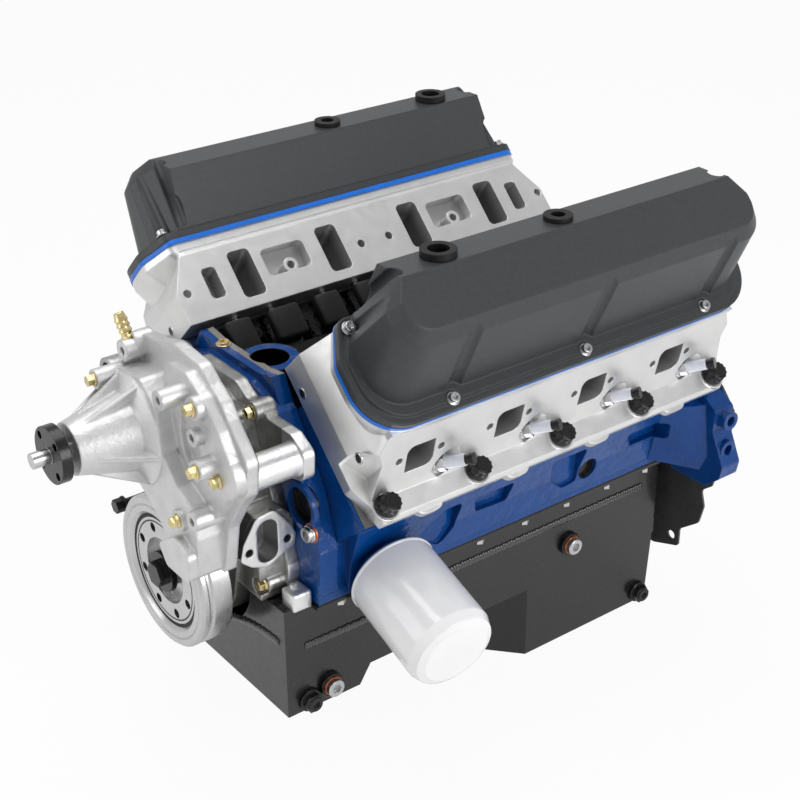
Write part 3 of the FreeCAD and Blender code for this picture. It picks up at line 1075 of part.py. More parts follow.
def main():
    save("block", block())
    save("main_caps", main_caps())
    save("main_bearings", main_bearings())
    save("rear_seal", rear_seal())
    save("crankshaft", crankshaft())
    rods, caps, pistons, pins = rods_and_pistons()
    save("connecting_rods", rods)
    save("rod_caps", caps)
    save("pistons", pistons)
    save("wrist_pins", pins)
    save("camshaft", camshaft())
    lift, push = lifters()
    save("roller_lifters", lift)
    save("pushrods", push)
    cam, crank, chain, cam_bolt, plate = timing_set()
    save("cam_sprocket", cam)
    save("crank_sprocket", crank)
    save("timing_chain", chain)
    save("cam_bolt", cam_bolt)
    save("cam_retainer_plate", plate)
    h = head()
    c = cover()
    for side in SIDES:
        save("cylinder_head_" + side, to_bank(h, side))
        save("valve_cover_" + side, to_bank(c, side))
    save("head_gaskets", [to_bank(head_gasket(), s) for s in SIDES])
    save("head_bolts", [to_bank(bolt(19, LEDGE_V + 1.0, 12, 4, V(BOLT_E, q, LEDGE_V), Z_AXIS), s) for s in SIDES for q in BOLT_S])
    shells, ins, terms = plugs()
    save("spark_plugs", shells)
    save("plug_insulators", ins)
    save("plug_terminals", terms)
    save("cover_gaskets", [to_bank(cover_gasket(), s) for s in SIDES])
    bolts, grommets = cover_small()
    save("cover_bolts", bolts)
    save("cover_grommets", grommets)
    save("timing_cover", timing_cover())
    save("front_seal", seal_ring())
    save("water_pump_housing", water_pump())
    save("pump_backplate", pump_backplate())
    shaft, hub, imp = pump_turning()
    save("pump_shaft", shaft)
    save("pump_hub", hub)
    save("pump_impeller", imp)
    hub, rub, out, bolt_ = damper()
    save("damper_hub", hub)
    save("damper_elastomer", rub)
    save("damper_ring", out)
    save("crank_bolt", bolt_)
    save("oil_pan", pan())
    save("pan_gasket", pan_gasket())
    save("pan_bolts", pan_bolts())
    save("pan_plugs", pan_plugs())
    save("block_plate", block_plate())
    save("oil_filter", oil_filter())
    save("lifter_guides", lifter_retainer())
    save("block_plugs", block_plugs())
    save("core_plugs", core_plugs())
    save("bracket_bolt", bracket_bolt())
    save("timing_pointer", timing_pointer())
    save("timing_cover_bolts", timing_cover_bolts())
    save("pump_fittings", pump_fittings())


main()
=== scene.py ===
# %% [markdown]
# # Dressing a V8 engine
# The engine's solids were drawn in a CAD program and packed as a frame. Blender
# gives them their finishes and adds the small shapes that a casting, a weld or a
# socket screw has. The frame is loaded first, because every piece below takes its
# place from it, in metres, with X to the left bank, Y to the flywheel and Z up.

# %% Load the frame
import json
import math

import bmesh
import bpy
from mathutils import Matrix, Vector


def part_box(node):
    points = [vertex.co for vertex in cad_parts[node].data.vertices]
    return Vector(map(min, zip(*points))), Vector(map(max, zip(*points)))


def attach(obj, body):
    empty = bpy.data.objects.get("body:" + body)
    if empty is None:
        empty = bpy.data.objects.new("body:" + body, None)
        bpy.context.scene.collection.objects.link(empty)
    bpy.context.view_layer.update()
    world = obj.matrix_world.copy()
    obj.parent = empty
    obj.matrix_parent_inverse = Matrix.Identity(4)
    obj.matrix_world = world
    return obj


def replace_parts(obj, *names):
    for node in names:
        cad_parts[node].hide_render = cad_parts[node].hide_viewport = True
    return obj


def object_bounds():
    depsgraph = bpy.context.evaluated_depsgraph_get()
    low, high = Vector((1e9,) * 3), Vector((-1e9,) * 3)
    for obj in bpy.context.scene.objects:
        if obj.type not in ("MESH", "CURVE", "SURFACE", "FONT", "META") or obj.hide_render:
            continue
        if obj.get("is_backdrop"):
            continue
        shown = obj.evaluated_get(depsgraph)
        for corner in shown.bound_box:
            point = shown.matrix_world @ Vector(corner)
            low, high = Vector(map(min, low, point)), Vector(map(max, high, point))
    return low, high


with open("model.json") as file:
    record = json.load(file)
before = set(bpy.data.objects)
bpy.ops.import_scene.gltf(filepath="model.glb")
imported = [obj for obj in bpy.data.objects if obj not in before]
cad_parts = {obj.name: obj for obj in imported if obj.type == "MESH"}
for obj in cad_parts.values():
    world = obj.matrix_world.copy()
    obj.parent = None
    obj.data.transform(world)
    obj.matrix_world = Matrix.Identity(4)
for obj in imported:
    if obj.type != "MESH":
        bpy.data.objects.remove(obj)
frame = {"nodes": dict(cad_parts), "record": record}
nodes = frame["nodes"]
cad_low, cad_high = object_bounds()
scene = bpy.context.scene
scene.view_settings.view_transform = "Standard"
print("CAD nodes:", len(nodes))
print("CAD box:", [round(v, 4) for v in cad_low], [round(v, 4) for v in cad_high])

# %% [markdown]
# ## Camera
# A product shot is taken with a long lens from a few engine lengths away, so the
# lines stay nearly parallel. The camera stands ahead of the left bank and looks
# down on it. Its three axes come from two angles and a slight roll, which is
# easier to read and to correct than a tracking constraint.

# %% Place the camera
AZIMUTH = math.radians(53.02)
ELEVATION = math.radians(27.90)
ROLL = math.radians(-0.41)
CAMERA_AT = Vector((1.2375, -1.2396, 0.9212))

look = Vector((-math.sin(AZIMUTH) * math.cos(ELEVATION),
               math.cos(AZIMUTH) * math.cos(ELEVATION),
               -math.sin(ELEVATION)))
level = Vector((math.cos(AZIMUTH), math.sin(AZIMUTH), 0))
raised = level.cross(look)
right = math.cos(ROLL) * level + math.sin(ROLL) * raised
up = -math.sin(ROLL) * level + math.cos(ROLL) * raised

lens = bpy.data.cameras.new("camera")
lens.lens = 72.14
lens.sensor_width = 36
lens.shift_x = 0.00325
lens.shift_y = -0.001
camera = bpy.data.objects.new("camera", lens)
camera.matrix_world = Matrix.Translation(CAMERA_AT) @ Matrix((right, up, -look)).transposed().to_4x4()
scene.collection.objects.link(camera)
scene.camera = camera
print("camera to engine:", round(CAMERA_AT.length, 2), "m")

# %% [markdown]
# ## Floor and backdrop
# Metal looks like what it mirrors, so a bright engine needs a bright room. The
# world is white where the camera sees it, bright grey where a reflection does, and
# dim as a lamp, so the castings keep their shading. In reflections the ceiling is
# darker than the walls, so a top face mirrors less light than a side does. The
# floor is white paper that takes the engine's shadow, under a glow that only the
# camera's rays see.


# %% Floor and world
def seen_directly(tree, *kinds):
    """One for the named kinds of ray, else zero."""
    path = tree.nodes.new("ShaderNodeLightPath")
    seen = tree.nodes.new("ShaderNodeMath")
    seen.operation = "MAXIMUM"
    for socket, kind in zip(seen.inputs, kinds):
        tree.links.new(path.outputs[kind], socket)
    return seen.outputs[0]


FLOOR_GAP = 0.001
FLOOR_WHITE, FLOOR_GLOW = 0.92, 0.94
WALLS, CEILING, AS_LAMP = 0.8, 0.24, 0.32
CEILING_STARTS, CEILING_FULL = 0.3, 0.8

floor_z = cad_low[2] - FLOOR_GAP
mesh = bpy.data.meshes.new("floor")
sheet = bmesh.new()
bmesh.ops.create_grid(sheet, x_segments=1, y_segments=1, size=6)
bmesh.ops.translate(sheet, verts=sheet.verts, vec=(0, 0, floor_z))
sheet.to_mesh(mesh)
sheet.free()
floor = bpy.data.objects.new("floor", mesh)
scene.collection.objects.link(floor)
floor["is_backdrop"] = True

paper = bpy.data.materials.new("floor_paper")
paper.use_nodes = True
tree = paper.node_tree
shader = tree.nodes["Principled BSDF"]
shader.inputs["Base Color"].default_value = (FLOOR_WHITE, FLOOR_WHITE, FLOOR_WHITE, 1)
shader.inputs["Roughness"].default_value = 0.9
glow = tree.nodes.new("ShaderNodeEmission")
glow.inputs["Strength"].default_value = 1.0
share = tree.nodes.new("ShaderNodeMixShader")
fade = tree.nodes.new("ShaderNodeMath")
fade.operation = "MULTIPLY"
fade.inputs[1].default_value = FLOOR_GLOW
tree.links.new(seen_directly(tree, "Is Camera Ray"), fade.inputs[0])
tree.links.new(fade.outputs[0], share.inputs["Fac"])
tree.links.new(shader.outputs[0], share.inputs[1])
tree.links.new(glow.outputs[0], share.inputs[2])
tree.links.new(share.outputs[0], tree.nodes["Material Output"].inputs["Surface"])
floor.data.materials.append(paper)

world = bpy.data.worlds.new("studio")
scene.world = world
world.use_nodes = True
tree = world.node_tree
tree.nodes["Background"].inputs["Color"].default_value = (1, 1, 1, 1)
tree.nodes["Background"].inputs["Strength"].default_value = AS_LAMP
bright = tree.nodes.new("ShaderNodeBackground")
direction = tree.nodes.new("ShaderNodeSeparateXYZ")
tree.links.new(tree.nodes.new("ShaderNodeTexCoord").outputs["Generated"], direction.inputs[0])
ceiling = tree.nodes.new("ShaderNodeMapRange")
for key, number in (("From Min", CEILING_STARTS), ("From Max", CEILING_FULL),
                    ("To Min", WALLS), ("To Max", CEILING)):
    ceiling.inputs[key].default_value = number
tree.links.new(direction.outputs[2], ceiling.inputs["Value"])
mirrored = tree.nodes.new("ShaderNodeMath")
mirrored.operation = "MAXIMUM"
tree.links.new(seen_directly(tree, "Is Camera Ray"), mirrored.inputs[0])
tree.links.new(ceiling.outputs[0], mirrored.inputs[1])
bright.inputs["Color"].default_value = (1, 1, 1, 1)
tree.links.new(mirrored.outputs[0], bright.inputs["Strength"])
share = tree.nodes.new("ShaderNodeMixShader")
tree.links.new(seen_directly(tree, "Is Camera Ray", "Is Glossy Ray"), share.inputs["Fac"])
tree.links.new(tree.nodes["Background"].outputs[0], share.inputs[1])
tree.links.new(bright.outputs[0], share.inputs[2])
tree.links.new(share.outputs[0], tree.nodes["World Output"].inputs["Surface"])
print("floor at", round(floor_z, 4))

# %% [markdown]
# ## Lamps
# Small lamps leave hard spots on paint and bolts. Three wide, soft ones give each
# edge a broad highlight: one above, a weak one ahead for the pump and the damper,
# which face it squarely, and one on the left for the exhaust side.


# %% Soft lamps
def soft_lamp(name, at, aim, size, watts):
    """A square area lamp at one point that faces another."""
    light = bpy.data.lights.new(name, "AREA")
    light.shape = "SQUARE"
    light.size = size
    light.energy = watts
    lamp = bpy.data.objects.new(name, light)
    lamp.location = at
    lamp.rotation_euler = (Vector(aim) - Vector(at)).to_track_quat("-Z", "Y").to_euler()
    scene.collection.objects.link(lamp)
    return watts


ENGINE_MIDDLE = (0, -0.3, 0.1)
watts = soft_lamp("top_lamp", (-0.3, -0.4, 2.1), (0, -0.3, 0), 1.6, 25)
watts += soft_lamp("front_lamp", (-0.6, -2.3, 0.9), ENGINE_MIDDLE, 1.3, 8.5)
watts += soft_lamp("side_lamp", (2.2, 0.1, 0.8), ENGINE_MIDDLE, 1.3, 26)
print("lamps:", watts, "W")

# %% [markdown]
# ## How a finish is made
# Each finish starts as one Principled shader with plain numbers. A skin is laid
# over it: slow mottling of the colour, a changing roughness, fine grain as bump,
# and a Bevel node that rounds the look of edges, because no casting has a razor
# edge. It all reads Object coordinates, so grain has its real size in metres.


# %% A finish and its nodes
def finish(name, colour, roughness, metallic=0.0, coat=0.0, gloss=0.5):
    """A Principled material with plain numbers."""
    mat = bpy.data.materials.new(name)
    mat.use_nodes = True
    shader = mat.node_tree.nodes["Principled BSDF"]
    shader.inputs["Base Color"].default_value = (*colour, 1)
    shader.inputs["Roughness"].default_value = roughness
    shader.inputs["Metallic"].default_value = metallic
    shader.inputs["Coat Weight"].default_value = coat
    shader.inputs["Coat Roughness"].default_value = 0.06
    shader.inputs["Specular IOR Level"].default_value = gloss
    return mat


def noise(tree, where, scale, detail=3.0):
    """Cloudy pattern with features about 1/scale metres wide."""
    node = tree.nodes.new("ShaderNodeTexNoise")
    node.inputs["Scale"].default_value = scale
    node.inputs["Detail"].default_value = detail
    node.inputs["Roughness"].default_value = 0.55
    tree.links.new(where, node.inputs["Vector"])
    return node.outputs["Fac"]


def stretch(tree, value, low, high, to_low, to_high):
    """Maps one range of numbers to another."""
    node = tree.nodes.new("ShaderNodeMapRange")
    for key, number in (("From Min", low), ("From Max", high), ("To Min", to_low), ("To Max", to_high)):
        node.inputs[key].default_value = number
    tree.links.new(value, node.inputs["Value"])
    return node.outputs["Result"]


def blend_colour(tree, share, first, second):
    """Mixes two colours, each a socket or three numbers."""
    mix = tree.nodes.new("ShaderNodeMix")
    mix.data_type = "RGBA"
    for socket, value in ((mix.inputs[6], first), (mix.inputs[7], second)):
        if hasattr(value, "is_linked"):
            tree.links.new(value, socket)
        else:
            socket.default_value = (*value, 1)
    tree.links.new(share, mix.inputs[0])
    return mix.outputs[2]


def arithmetic(tree, how, a, b):
    """One Math node on two sockets or numbers."""
    node = tree.nodes.new("ShaderNodeMath")
    node.operation = how
    for socket, value in zip(node.inputs, (a, b)):
        if hasattr(value, "is_linked"):
            tree.links.new(value, socket)
        else:
            socket.default_value = value
    return node.outputs[0]


def coordinates(tree, output="Object"):
    """X, Y and Z of a Texture Coordinate output."""
    split = tree.nodes.new("ShaderNodeSeparateXYZ")
    tree.links.new(tree.nodes.new("ShaderNodeTexCoord").outputs[output], split.inputs[0])
    return split.outputs


def between(tree, value, low, high):
    """One inside a range of a coordinate, else zero."""
    return arithmetic(tree, "MULTIPLY", arithmetic(tree, "GREATER_THAN", value, low),
                      arithmetic(tree, "LESS_THAN", value, high))


def both(tree, *masks):
    """One where every mask is one."""
    found = masks[0]
    for mask in masks[1:]:
        found = arithmetic(tree, "MULTIPLY", found, mask)
    return found


def squared(tree, value):
    """A number times itself."""
    return arithmetic(tree, "MULTIPLY", value, value)


def recolour(tree, share, colour):
    """Lays a colour over a finish's own one, where the share is one."""
    base = tree.nodes["Principled BSDF"].inputs["Base Color"]
    tree.links.new(blend_colour(tree, share, base.links[0].from_socket, colour), base)


print("node helpers ready")


# %% The skin over a finish
def skin(mat, mottle=0.12, mottle_size=0.03, grain_size=0.0012, grain_depth=0.00004, edge=0.0012,
         rough_spread=0.06, wave_depth=0.0, wave_size=0.006):
    """Mottled colour, uneven gloss, grain, slow waves and rounded-looking edges."""
    tree = mat.node_tree
    shader = tree.nodes["Principled BSDF"]
    place = tree.nodes.new("ShaderNodeTexCoord").outputs["Object"]
    colour = shader.inputs["Base Color"].default_value[:3]
    cloud = stretch(tree, noise(tree, place, 1 / mottle_size), 0.3, 0.7, 0, 1)
    darker, lighter = [c * (1 - mottle) for c in colour], [min(1, c * (1 + mottle)) for c in colour]
    tree.links.new(blend_colour(tree, cloud, darker, lighter), shader.inputs["Base Color"])
    rough = shader.inputs["Roughness"].default_value
    quick = noise(tree, place, 3.1 / mottle_size, 4)
    uneven = stretch(tree, quick, 0.3, 0.7, rough - rough_spread, rough + rough_spread)
    tree.links.new(uneven, shader.inputs["Roughness"])
    soft = tree.nodes.new("ShaderNodeBevel")
    soft.samples = 4
    soft.inputs["Radius"].default_value = edge
    normal = soft.outputs[0]
    for size, depth in ((wave_size, wave_depth), (grain_size, grain_depth)):
        if depth:
            bump = tree.nodes.new("ShaderNodeBump")
            bump.inputs["Distance"].default_value = depth
            tree.links.new(noise(tree, place, 1 / size, 2), bump.inputs["Height"])
            tree.links.new(normal, bump.inputs["Normal"])
            normal = bump.outputs[0]
    tree.links.new(normal, shader.inputs["Normal"])
    return mat


# %% [markdown]
# ## The plain finishes
# Paints, castings and bolts each get one, named by the slot that the record gives
# them. After a finish, a skin's numbers are its mottling and the size of that, the
# size and the depth of its grain, and the radius of its edges. Cast aluminium is a
# rough metal: the pump was sand cast, so its grain is deep and its edges are wide.
# Yellow zinc is a thin film on a steel bolt, a warm metal that shifts from gold to
# green.

# %% Castings, bolts and rubber
finishes = {
    "cast_alloy": skin(finish("cast_alloy", (0.66, 0.66, 0.665), 0.45, 0.8),
                       0.06, 0.02, 0.0016, 0.00012, 0.0035, wave_depth=0.0004),
    "gasket_blue": skin(finish("gasket_blue", (0.003, 0.16, 0.7), 0.35), 0.1, 0.02, 0.002, 0.00002),
    "gasket_grey": skin(finish("gasket_grey", (0.1, 0.1, 0.1), 0.6), 0.2, 0.02, 0.002, 0.00003, 0.0003),
    "bright_steel": skin(finish("bright_steel", (0.58, 0.58, 0.59), 0.24, 1.0),
                         0.06, 0.03, 0.002, 0.00002, 0.0007),
    "forged_steel": skin(finish("forged_steel", (0.34, 0.33, 0.33), 0.42, 1.0),
                         0.2, 0.02, 0.002, 0.00006, 0.001),
    "black_steel": skin(finish("black_steel", (0.008, 0.008, 0.009), 0.24, gloss=0.4),
                        0.25, 0.01, 0.002, 0.00003, 0.001),
    "iron": skin(finish("iron", (0.1, 0.1, 0.1), 0.5, 0.8), 0.25, 0.01, 0.002, 0.00008),
    "bearing_metal": skin(finish("bearing_metal", (0.5, 0.5, 0.5), 0.3, 1.0), 0.08),
    "rubber": skin(finish("rubber", (0.008, 0.008, 0.008), 0.5, gloss=0.25), 0.2, 0.02, 0.002, 0.00004),
    "white_ceramic": skin(finish("white_ceramic", (0.76, 0.78, 0.86), 0.2, coat=0.6),
                          0.04, 0.01, 0.004, 0.00001, 0.0006),
    "white_enamel": skin(finish("white_enamel", (0.9, 0.9, 0.91), 0.2, coat=0.5),
                         0.015, 0.04, 0.01, 0.00002, 0.0025),
    "brass": skin(finish("brass", (0.72, 0.6, 0.3), 0.24, 1.0), 0.2, 0.004, 0.002, 0.00003, 0.0006),
}
weld_paint = skin(finish("weld_paint", (0.008, 0.008, 0.008), 0.12, coat=1.0), 0.15, 0.01, 0.004, 0.00002, 0.0004)
copper = skin(finish("copper_washer", (0.55, 0.15, 0.055), 0.34, 0.9), 0.15, 0.004, 0.002, 0.00003, 0.0004)
hoop_steel = skin(finish("hoop_steel", (0.56, 0.56, 0.56), 0.3, 1.0), 0.03, 0.03, 0.002, 0.0, 0.0008)

tree = finishes["brass"].node_tree
place = tree.nodes.new("ShaderNodeTexCoord").outputs["Object"]
film = stretch(tree, noise(tree, place, 210, 1), 0.38, 0.62, 0, 1)
green_to_pink = blend_colour(tree, film, (0.42, 0.44, 0.16), (0.82, 0.52, 0.36))
patches = arithmetic(tree, "MULTIPLY", stretch(tree, noise(tree, place, 90, 1), 0.4, 0.6, 0, 1), 0.75)
recolour(tree, patches, green_to_pink)
print("plain finishes:", len(finishes))

# %% [markdown]
# ## Blue enamel over an iron casting
# The block is rough iron under thick gloss paint: the paint fills the grain, and
# leaves slow waves that break each highlight up. Three places are not blue. The
# valley between the banks is coloured black, the distributor's bore is black as
# painted shade of its deep hole, and a rail along each end of the valley is
# machined bare. All are found from Object coordinates, so one material does it.


# %% Block enamel
FRONT_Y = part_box("block_plugs")[1][1]
LEAN = math.sqrt(0.5)
DECK_HEIGHT = 0.2084
BORE_PITCH = 0.11125
DECK_Z = 0.2137
VALLEY_FRONT, VALLEY_REAR = FRONT_Y + 0.0245, -0.0165
VALLEY_HALF, VALLEY_LOW = 0.11, 0.1
RAIL_Y = FRONT_Y + 0.0165
DIST_AT = (0.016, FRONT_Y + 0.039)
DIST_BOSS_R, DIST_BORE_R, DIST_BORE_TOP = 0.03, 0.0203, 0.2125

enamel = skin(finish("block_paint", (0.0006, 0.052, 0.235), 0.15, coat=0.1, gloss=0.32),
              0.1, 0.03, 0.003, 0.00012, 0.0022, 0.03, wave_depth=0.0014, wave_size=0.011)
tree = enamel.node_tree
x, y, z = coordinates(tree)
facing_up = coordinates(tree, "Normal")[2]
from_hole = arithmetic(tree, "ADD", squared(tree, arithmetic(tree, "SUBTRACT", x, DIST_AT[0])),
                       squared(tree, arithmetic(tree, "SUBTRACT", y, DIST_AT[1])))
valley = both(tree, between(tree, y, VALLEY_FRONT, VALLEY_REAR), between(tree, x, -VALLEY_HALF, VALLEY_HALF),
              arithmetic(tree, "GREATER_THAN", z, VALLEY_LOW),
              arithmetic(tree, "GREATER_THAN", from_hole, DIST_BOSS_R ** 2))
bore_painted_shade = both(tree, arithmetic(tree, "LESS_THAN", from_hole, DIST_BORE_R ** 2),
            between(tree, z, VALLEY_LOW, DIST_BORE_TOP))
rail = both(tree, arithmetic(tree, "GREATER_THAN", z, DECK_Z), arithmetic(tree, "GREATER_THAN", facing_up, 0.85),
            arithmetic(tree, "GREATER_THAN", y, RAIL_Y))
# the bore's black is painted shade; the valley is coloured black too
recolour(tree, arithmetic(tree, "MAXIMUM", valley, bore_painted_shade), (0.003, 0.003, 0.0035))
recolour(tree, rail, (0.24, 0.225, 0.2))
finishes["block_paint"] = enamel
print("enamel nodes:", len(tree.nodes))

# %% [markdown]
# ## Crinkle covers, sheet pan and machined heads
# The covers wear a charcoal paint whose fine crinkle makes it satin. The pan is
# glossier sheet metal. A head is cast and then milled on its flat faces, and the
# cutter's lines run along the engine, so its grain is noise squeezed along Y.


# %% Covers, pan and heads
def milled(mat, depth, across, along):
    """Cutter lines that run along Y."""
    tree = mat.node_tree
    squeeze = tree.nodes.new("ShaderNodeMapping")
    squeeze.inputs["Scale"].default_value = (1 / across, 1 / along, 1 / across)
    tree.links.new(tree.nodes.new("ShaderNodeTexCoord").outputs["Object"], squeeze.inputs["Vector"])
    lines = tree.nodes.new("ShaderNodeBump")
    lines.inputs["Distance"].default_value = depth
    tree.links.new(noise(tree, squeeze.outputs[0], 1.0, 2), lines.inputs["Height"])
    target = tree.nodes["Principled BSDF"].inputs["Normal"]
    tree.links.new(target.links[0].from_socket, lines.inputs["Normal"])
    tree.links.new(lines.outputs[0], target)
    return mat


finishes["cover_paint"] = skin(finish("cover_paint", (0.036, 0.038, 0.041), 0.4, gloss=0.5),
                               0.12, 0.004, 0.0007, 0.0001, 0.003, 0.08)
finishes["pan_paint"] = skin(finish("pan_paint", (0.008, 0.008, 0.008), 0.26, coat=0.25),
                             0.15, 0.05, 0.004, 0.00004, 0.0015)
head_skin = skin(finish("head_alloy", (0.74, 0.74, 0.735), 0.38, 0.8), 0.04, 0.03, 0.0012, 0.00004, 0.0018)
finishes["head_alloy"] = milled(head_skin, depth=0.00003, across=0.0006, along=0.03)

# the chain case is a darker casting, with a milled pump pad; the hole in the pad is greyer as painted shade
PAD_X = 0.115
PAD_HOLE_Y = (FRONT_Y - 0.0474, FRONT_Y - 0.0226)
PAD_HOLE_Z = (0.0486, 0.0974)
front_casting = skin(finish("front_casting", (0.4, 0.4, 0.39), 0.34, 0.9),
                     0.2, 0.015, 0.0016, 0.00014, 0.003, wave_depth=0.0004)
tree = front_casting.node_tree
x, y, z = coordinates(tree)
recolour(tree, arithmetic(tree, "GREATER_THAN", x, PAD_X - 0.0006), (0.8, 0.8, 0.8))
# painted shade: the walls of the pad's hole are greyer than the casting
pad_hole_painted_shade = both(tree, between(tree, x, PAD_X - 0.03, PAD_X - 0.001), between(tree, y, *PAD_HOLE_Y),
                between(tree, z, *PAD_HOLE_Z))
recolour(tree, pad_hole_painted_shade, (0.36, 0.36, 0.365))

# inside the heads' ports painted shade darkens the colour with depth; the depth
# is counted from the nearest outer face, in the head's own leaning directions
INTAKE_OUT, EXHAUST_OUT, EXHAUST_LEAN, LEDGE_HIGH = -0.1092, 0.024, 0.62, 0.048
HEAD_MIDDLE, HALF_STAGGER, HEAD_HALF = -0.2585, 0.0106, 0.24
tree = finishes["head_alloy"].node_tree
x, y, z = coordinates(tree)
wide = arithmetic(tree, "ABSOLUTE", x, 0.0)
out = arithmetic(tree, "MULTIPLY", arithmetic(tree, "SUBTRACT", wide, z), LEAN)
from_crank = arithmetic(tree, "MULTIPLY", arithmetic(tree, "ADD", wide, z), LEAN)
high = arithmetic(tree, "SUBTRACT", from_crank, DECK_HEIGHT)
from_intake = arithmetic(tree, "SUBTRACT", out, INTAKE_OUT)
slope = arithmetic(tree, "MULTIPLY", arithmetic(tree, "SUBTRACT", high, LEDGE_HIGH), EXHAUST_LEAN)
from_exhaust = arithmetic(tree, "SUBTRACT", arithmetic(tree, "SUBTRACT", EXHAUST_OUT, slope), out)
stagger = arithmetic(tree, "MULTIPLY", arithmetic(tree, "SIGN", x, 0.0), HALF_STAGGER)
middle = arithmetic(tree, "ADD", stagger, HEAD_MIDDLE)
along = arithmetic(tree, "ABSOLUTE", arithmetic(tree, "SUBTRACT", y, middle), 0.0)
from_end = arithmetic(tree, "SUBTRACT", HEAD_HALF, along)
depth = arithmetic(tree, "MINIMUM", arithmetic(tree, "MINIMUM", from_intake, from_exhaust), from_end)
# painted shade: the port walls get darker the deeper they lie
port_painted_shade = both(tree, stretch(tree, depth, 0.004, 0.022, 0, 1), between(tree, high, 0.0165, 0.0865))
recolour(tree, port_painted_shade, (0.33, 0.33, 0.33))

# a dark ring of painted shade stands for one more turned groove on the damper's hub, outside its ring of holes
hub_steel = skin(finish("hub_steel", (0.56, 0.56, 0.56), 0.27, 1.0), 0.04, 0.03, 0.002, 0.00002, 0.0008)
tree = hub_steel.node_tree
x, y, z = coordinates(tree)
radius = arithmetic(tree, "POWER", arithmetic(tree, "ADD", squared(tree, x), squared(tree, z)), 0.5)
# painted shade of a groove, as a dark ring on the steel
recolour(tree, between(tree, radius, 0.0532, 0.0551), (0.03, 0.03, 0.03))

plate_paint = skin(finish("plate_paint", (0.055, 0.055, 0.056), 0.3, coat=0.2),
                   0.15, 0.04, 0.004, 0.00004, 0.0012)
special = {"timing_cover": front_casting, "damper_hub": hub_steel, "block_plate": plate_paint}
for part in frame["record"]["subparts"]:
    mesh = nodes[part["node"]].data
    mesh.materials.clear()
    mesh.materials.append(special.get(part["node"]) or finishes[part["material_slot"]])
print("finishes:", len(finishes))

# %% [markdown]
# ## Tools for small turned pieces
# Bolts, washers and plugs are turned on a lathe, so they are made that way here: a
# half outline is spun a full circle, with its ends merged. A piece is drawn at the
# origin along Z and then stood on its seat, so its mesh holds its place.


# %% Lathe, sockets and hexagons
def soften(shape, edges, offset, segments):
    """Bevels some edges of a shape."""
    bmesh.ops.bevel(shape, geom=edges, offset=offset, offset_type="OFFSET", segments=segments, profile=0.5,
                    affect="EDGES", material=-1)


def turned(outline, steps=32):
    """Spins (radius, height) points about Z."""
    shape = bmesh.new()
    points = [shape.verts.new((r, 0, z)) for r, z in outline]
    for a, b in zip(points, points[1:]):
        shape.edges.new((a, b))
    bmesh.ops.spin(shape, geom=shape.verts[:] + shape.edges[:], cent=(0, 0, 0), axis=(0, 0, 1),
                   angle=2 * math.pi, steps=steps, use_merge=True)
    bmesh.ops.remove_doubles(shape, verts=shape.verts, dist=0.000002)
    bmesh.ops.recalc_face_normals(shape, faces=shape.faces)
    return shape


def six_sided(flats, height, chamfer, base=0.0):
    """A hexagonal head with a chamfered top."""
    shape = bmesh.new()
    radius = flats / 2 / math.cos(math.pi / 6)
    bmesh.ops.create_cone(shape, cap_ends=True, segments=6, radius1=radius, radius2=radius, depth=height)
    bmesh.ops.translate(shape, verts=shape.verts, vec=(0, 0, height / 2 + base))
    top = [e for e in shape.edges if all(v.co.z > base + height * 0.9 for v in e.verts)]
    soften(shape, top, chamfer, 2)
    bmesh.ops.recalc_face_normals(shape, faces=shape.faces)
    return shape


def socket_cap(radius, height, flats, depth, base=0.0, edge=0.0005):
    """A round screw head with a hexagonal socket."""
    shape = bmesh.new()
    rim = bmesh.ops.create_circle(shape, segments=24, radius=radius - edge)["verts"]
    key = bmesh.ops.create_circle(shape, segments=6, radius=flats / 2 / math.cos(math.pi / 6))["verts"]
    bmesh.ops.translate(shape, verts=shape.verts, vec=(0, 0, base + height))
    rim_edges = [e for e in shape.edges if e.verts[0] in rim]
    key_edges = [e for e in shape.edges if e.verts[0] in key]
    bmesh.ops.bridge_loops(shape, edges=rim_edges + key_edges)
    socket_wall = ((depth, 1.0),)
    outer_wall = ((edge, radius / (radius - edge)), (height - edge, 1.0))
    for edges, moves in ((key_edges, socket_wall), (rim_edges, outer_wall)):
        for drop, grow in moves:
            grown = bmesh.ops.extrude_edge_only(shape, edges=edges)["geom"]
            corners = [v for v in grown if isinstance(v, bmesh.types.BMVert)]
            edges = [e for e in grown if isinstance(e, bmesh.types.BMEdge) and all(v in corners for v in e.verts)]
            bmesh.ops.translate(shape, verts=corners, vec=(0, 0, -drop))
            bmesh.ops.scale(shape, verts=corners, vec=(grow, grow, 1))
        bmesh.ops.contextual_create(shape, geom=edges)
    bmesh.ops.recalc_face_normals(shape, faces=shape.faces)
    return shape


def stand(shape, at, axis=(0, 0, 1)):
    """Turns a shape's Z to an axis and moves it to a point."""
    turn = Vector((0, 0, 1)).rotation_difference(Vector(axis)).to_matrix()
    bmesh.ops.rotate(shape, verts=shape.verts, cent=(0, 0, 0), matrix=turn)
    bmesh.ops.translate(shape, verts=shape.verts, vec=at)
    return shape


print("lathe ready")


# %% Join shapes into a piece, and read places from the frame
def make(name, shapes, slot, body="engine", dress=None, sharp=34):
    """Joins shapes into one piece that rides on a body."""
    whole = bmesh.new()
    for shape in shapes:
        part = bpy.data.meshes.new("part")
        shape.to_mesh(part)
        shape.free()
        whole.from_mesh(part)
        bpy.data.meshes.remove(part)
    mesh = bpy.data.meshes.new(name)
    whole.to_mesh(mesh)
    whole.free()
    mesh.shade_smooth()
    mesh.set_sharp_from_angle(angle=math.radians(sharp))
    mesh.materials.append(dress or finishes[slot])
    piece = bpy.data.objects.new(name, mesh)
    scene.collection.objects.link(piece)
    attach(piece, body)
    print(name, "has", len(mesh.polygons), "faces")
    return piece


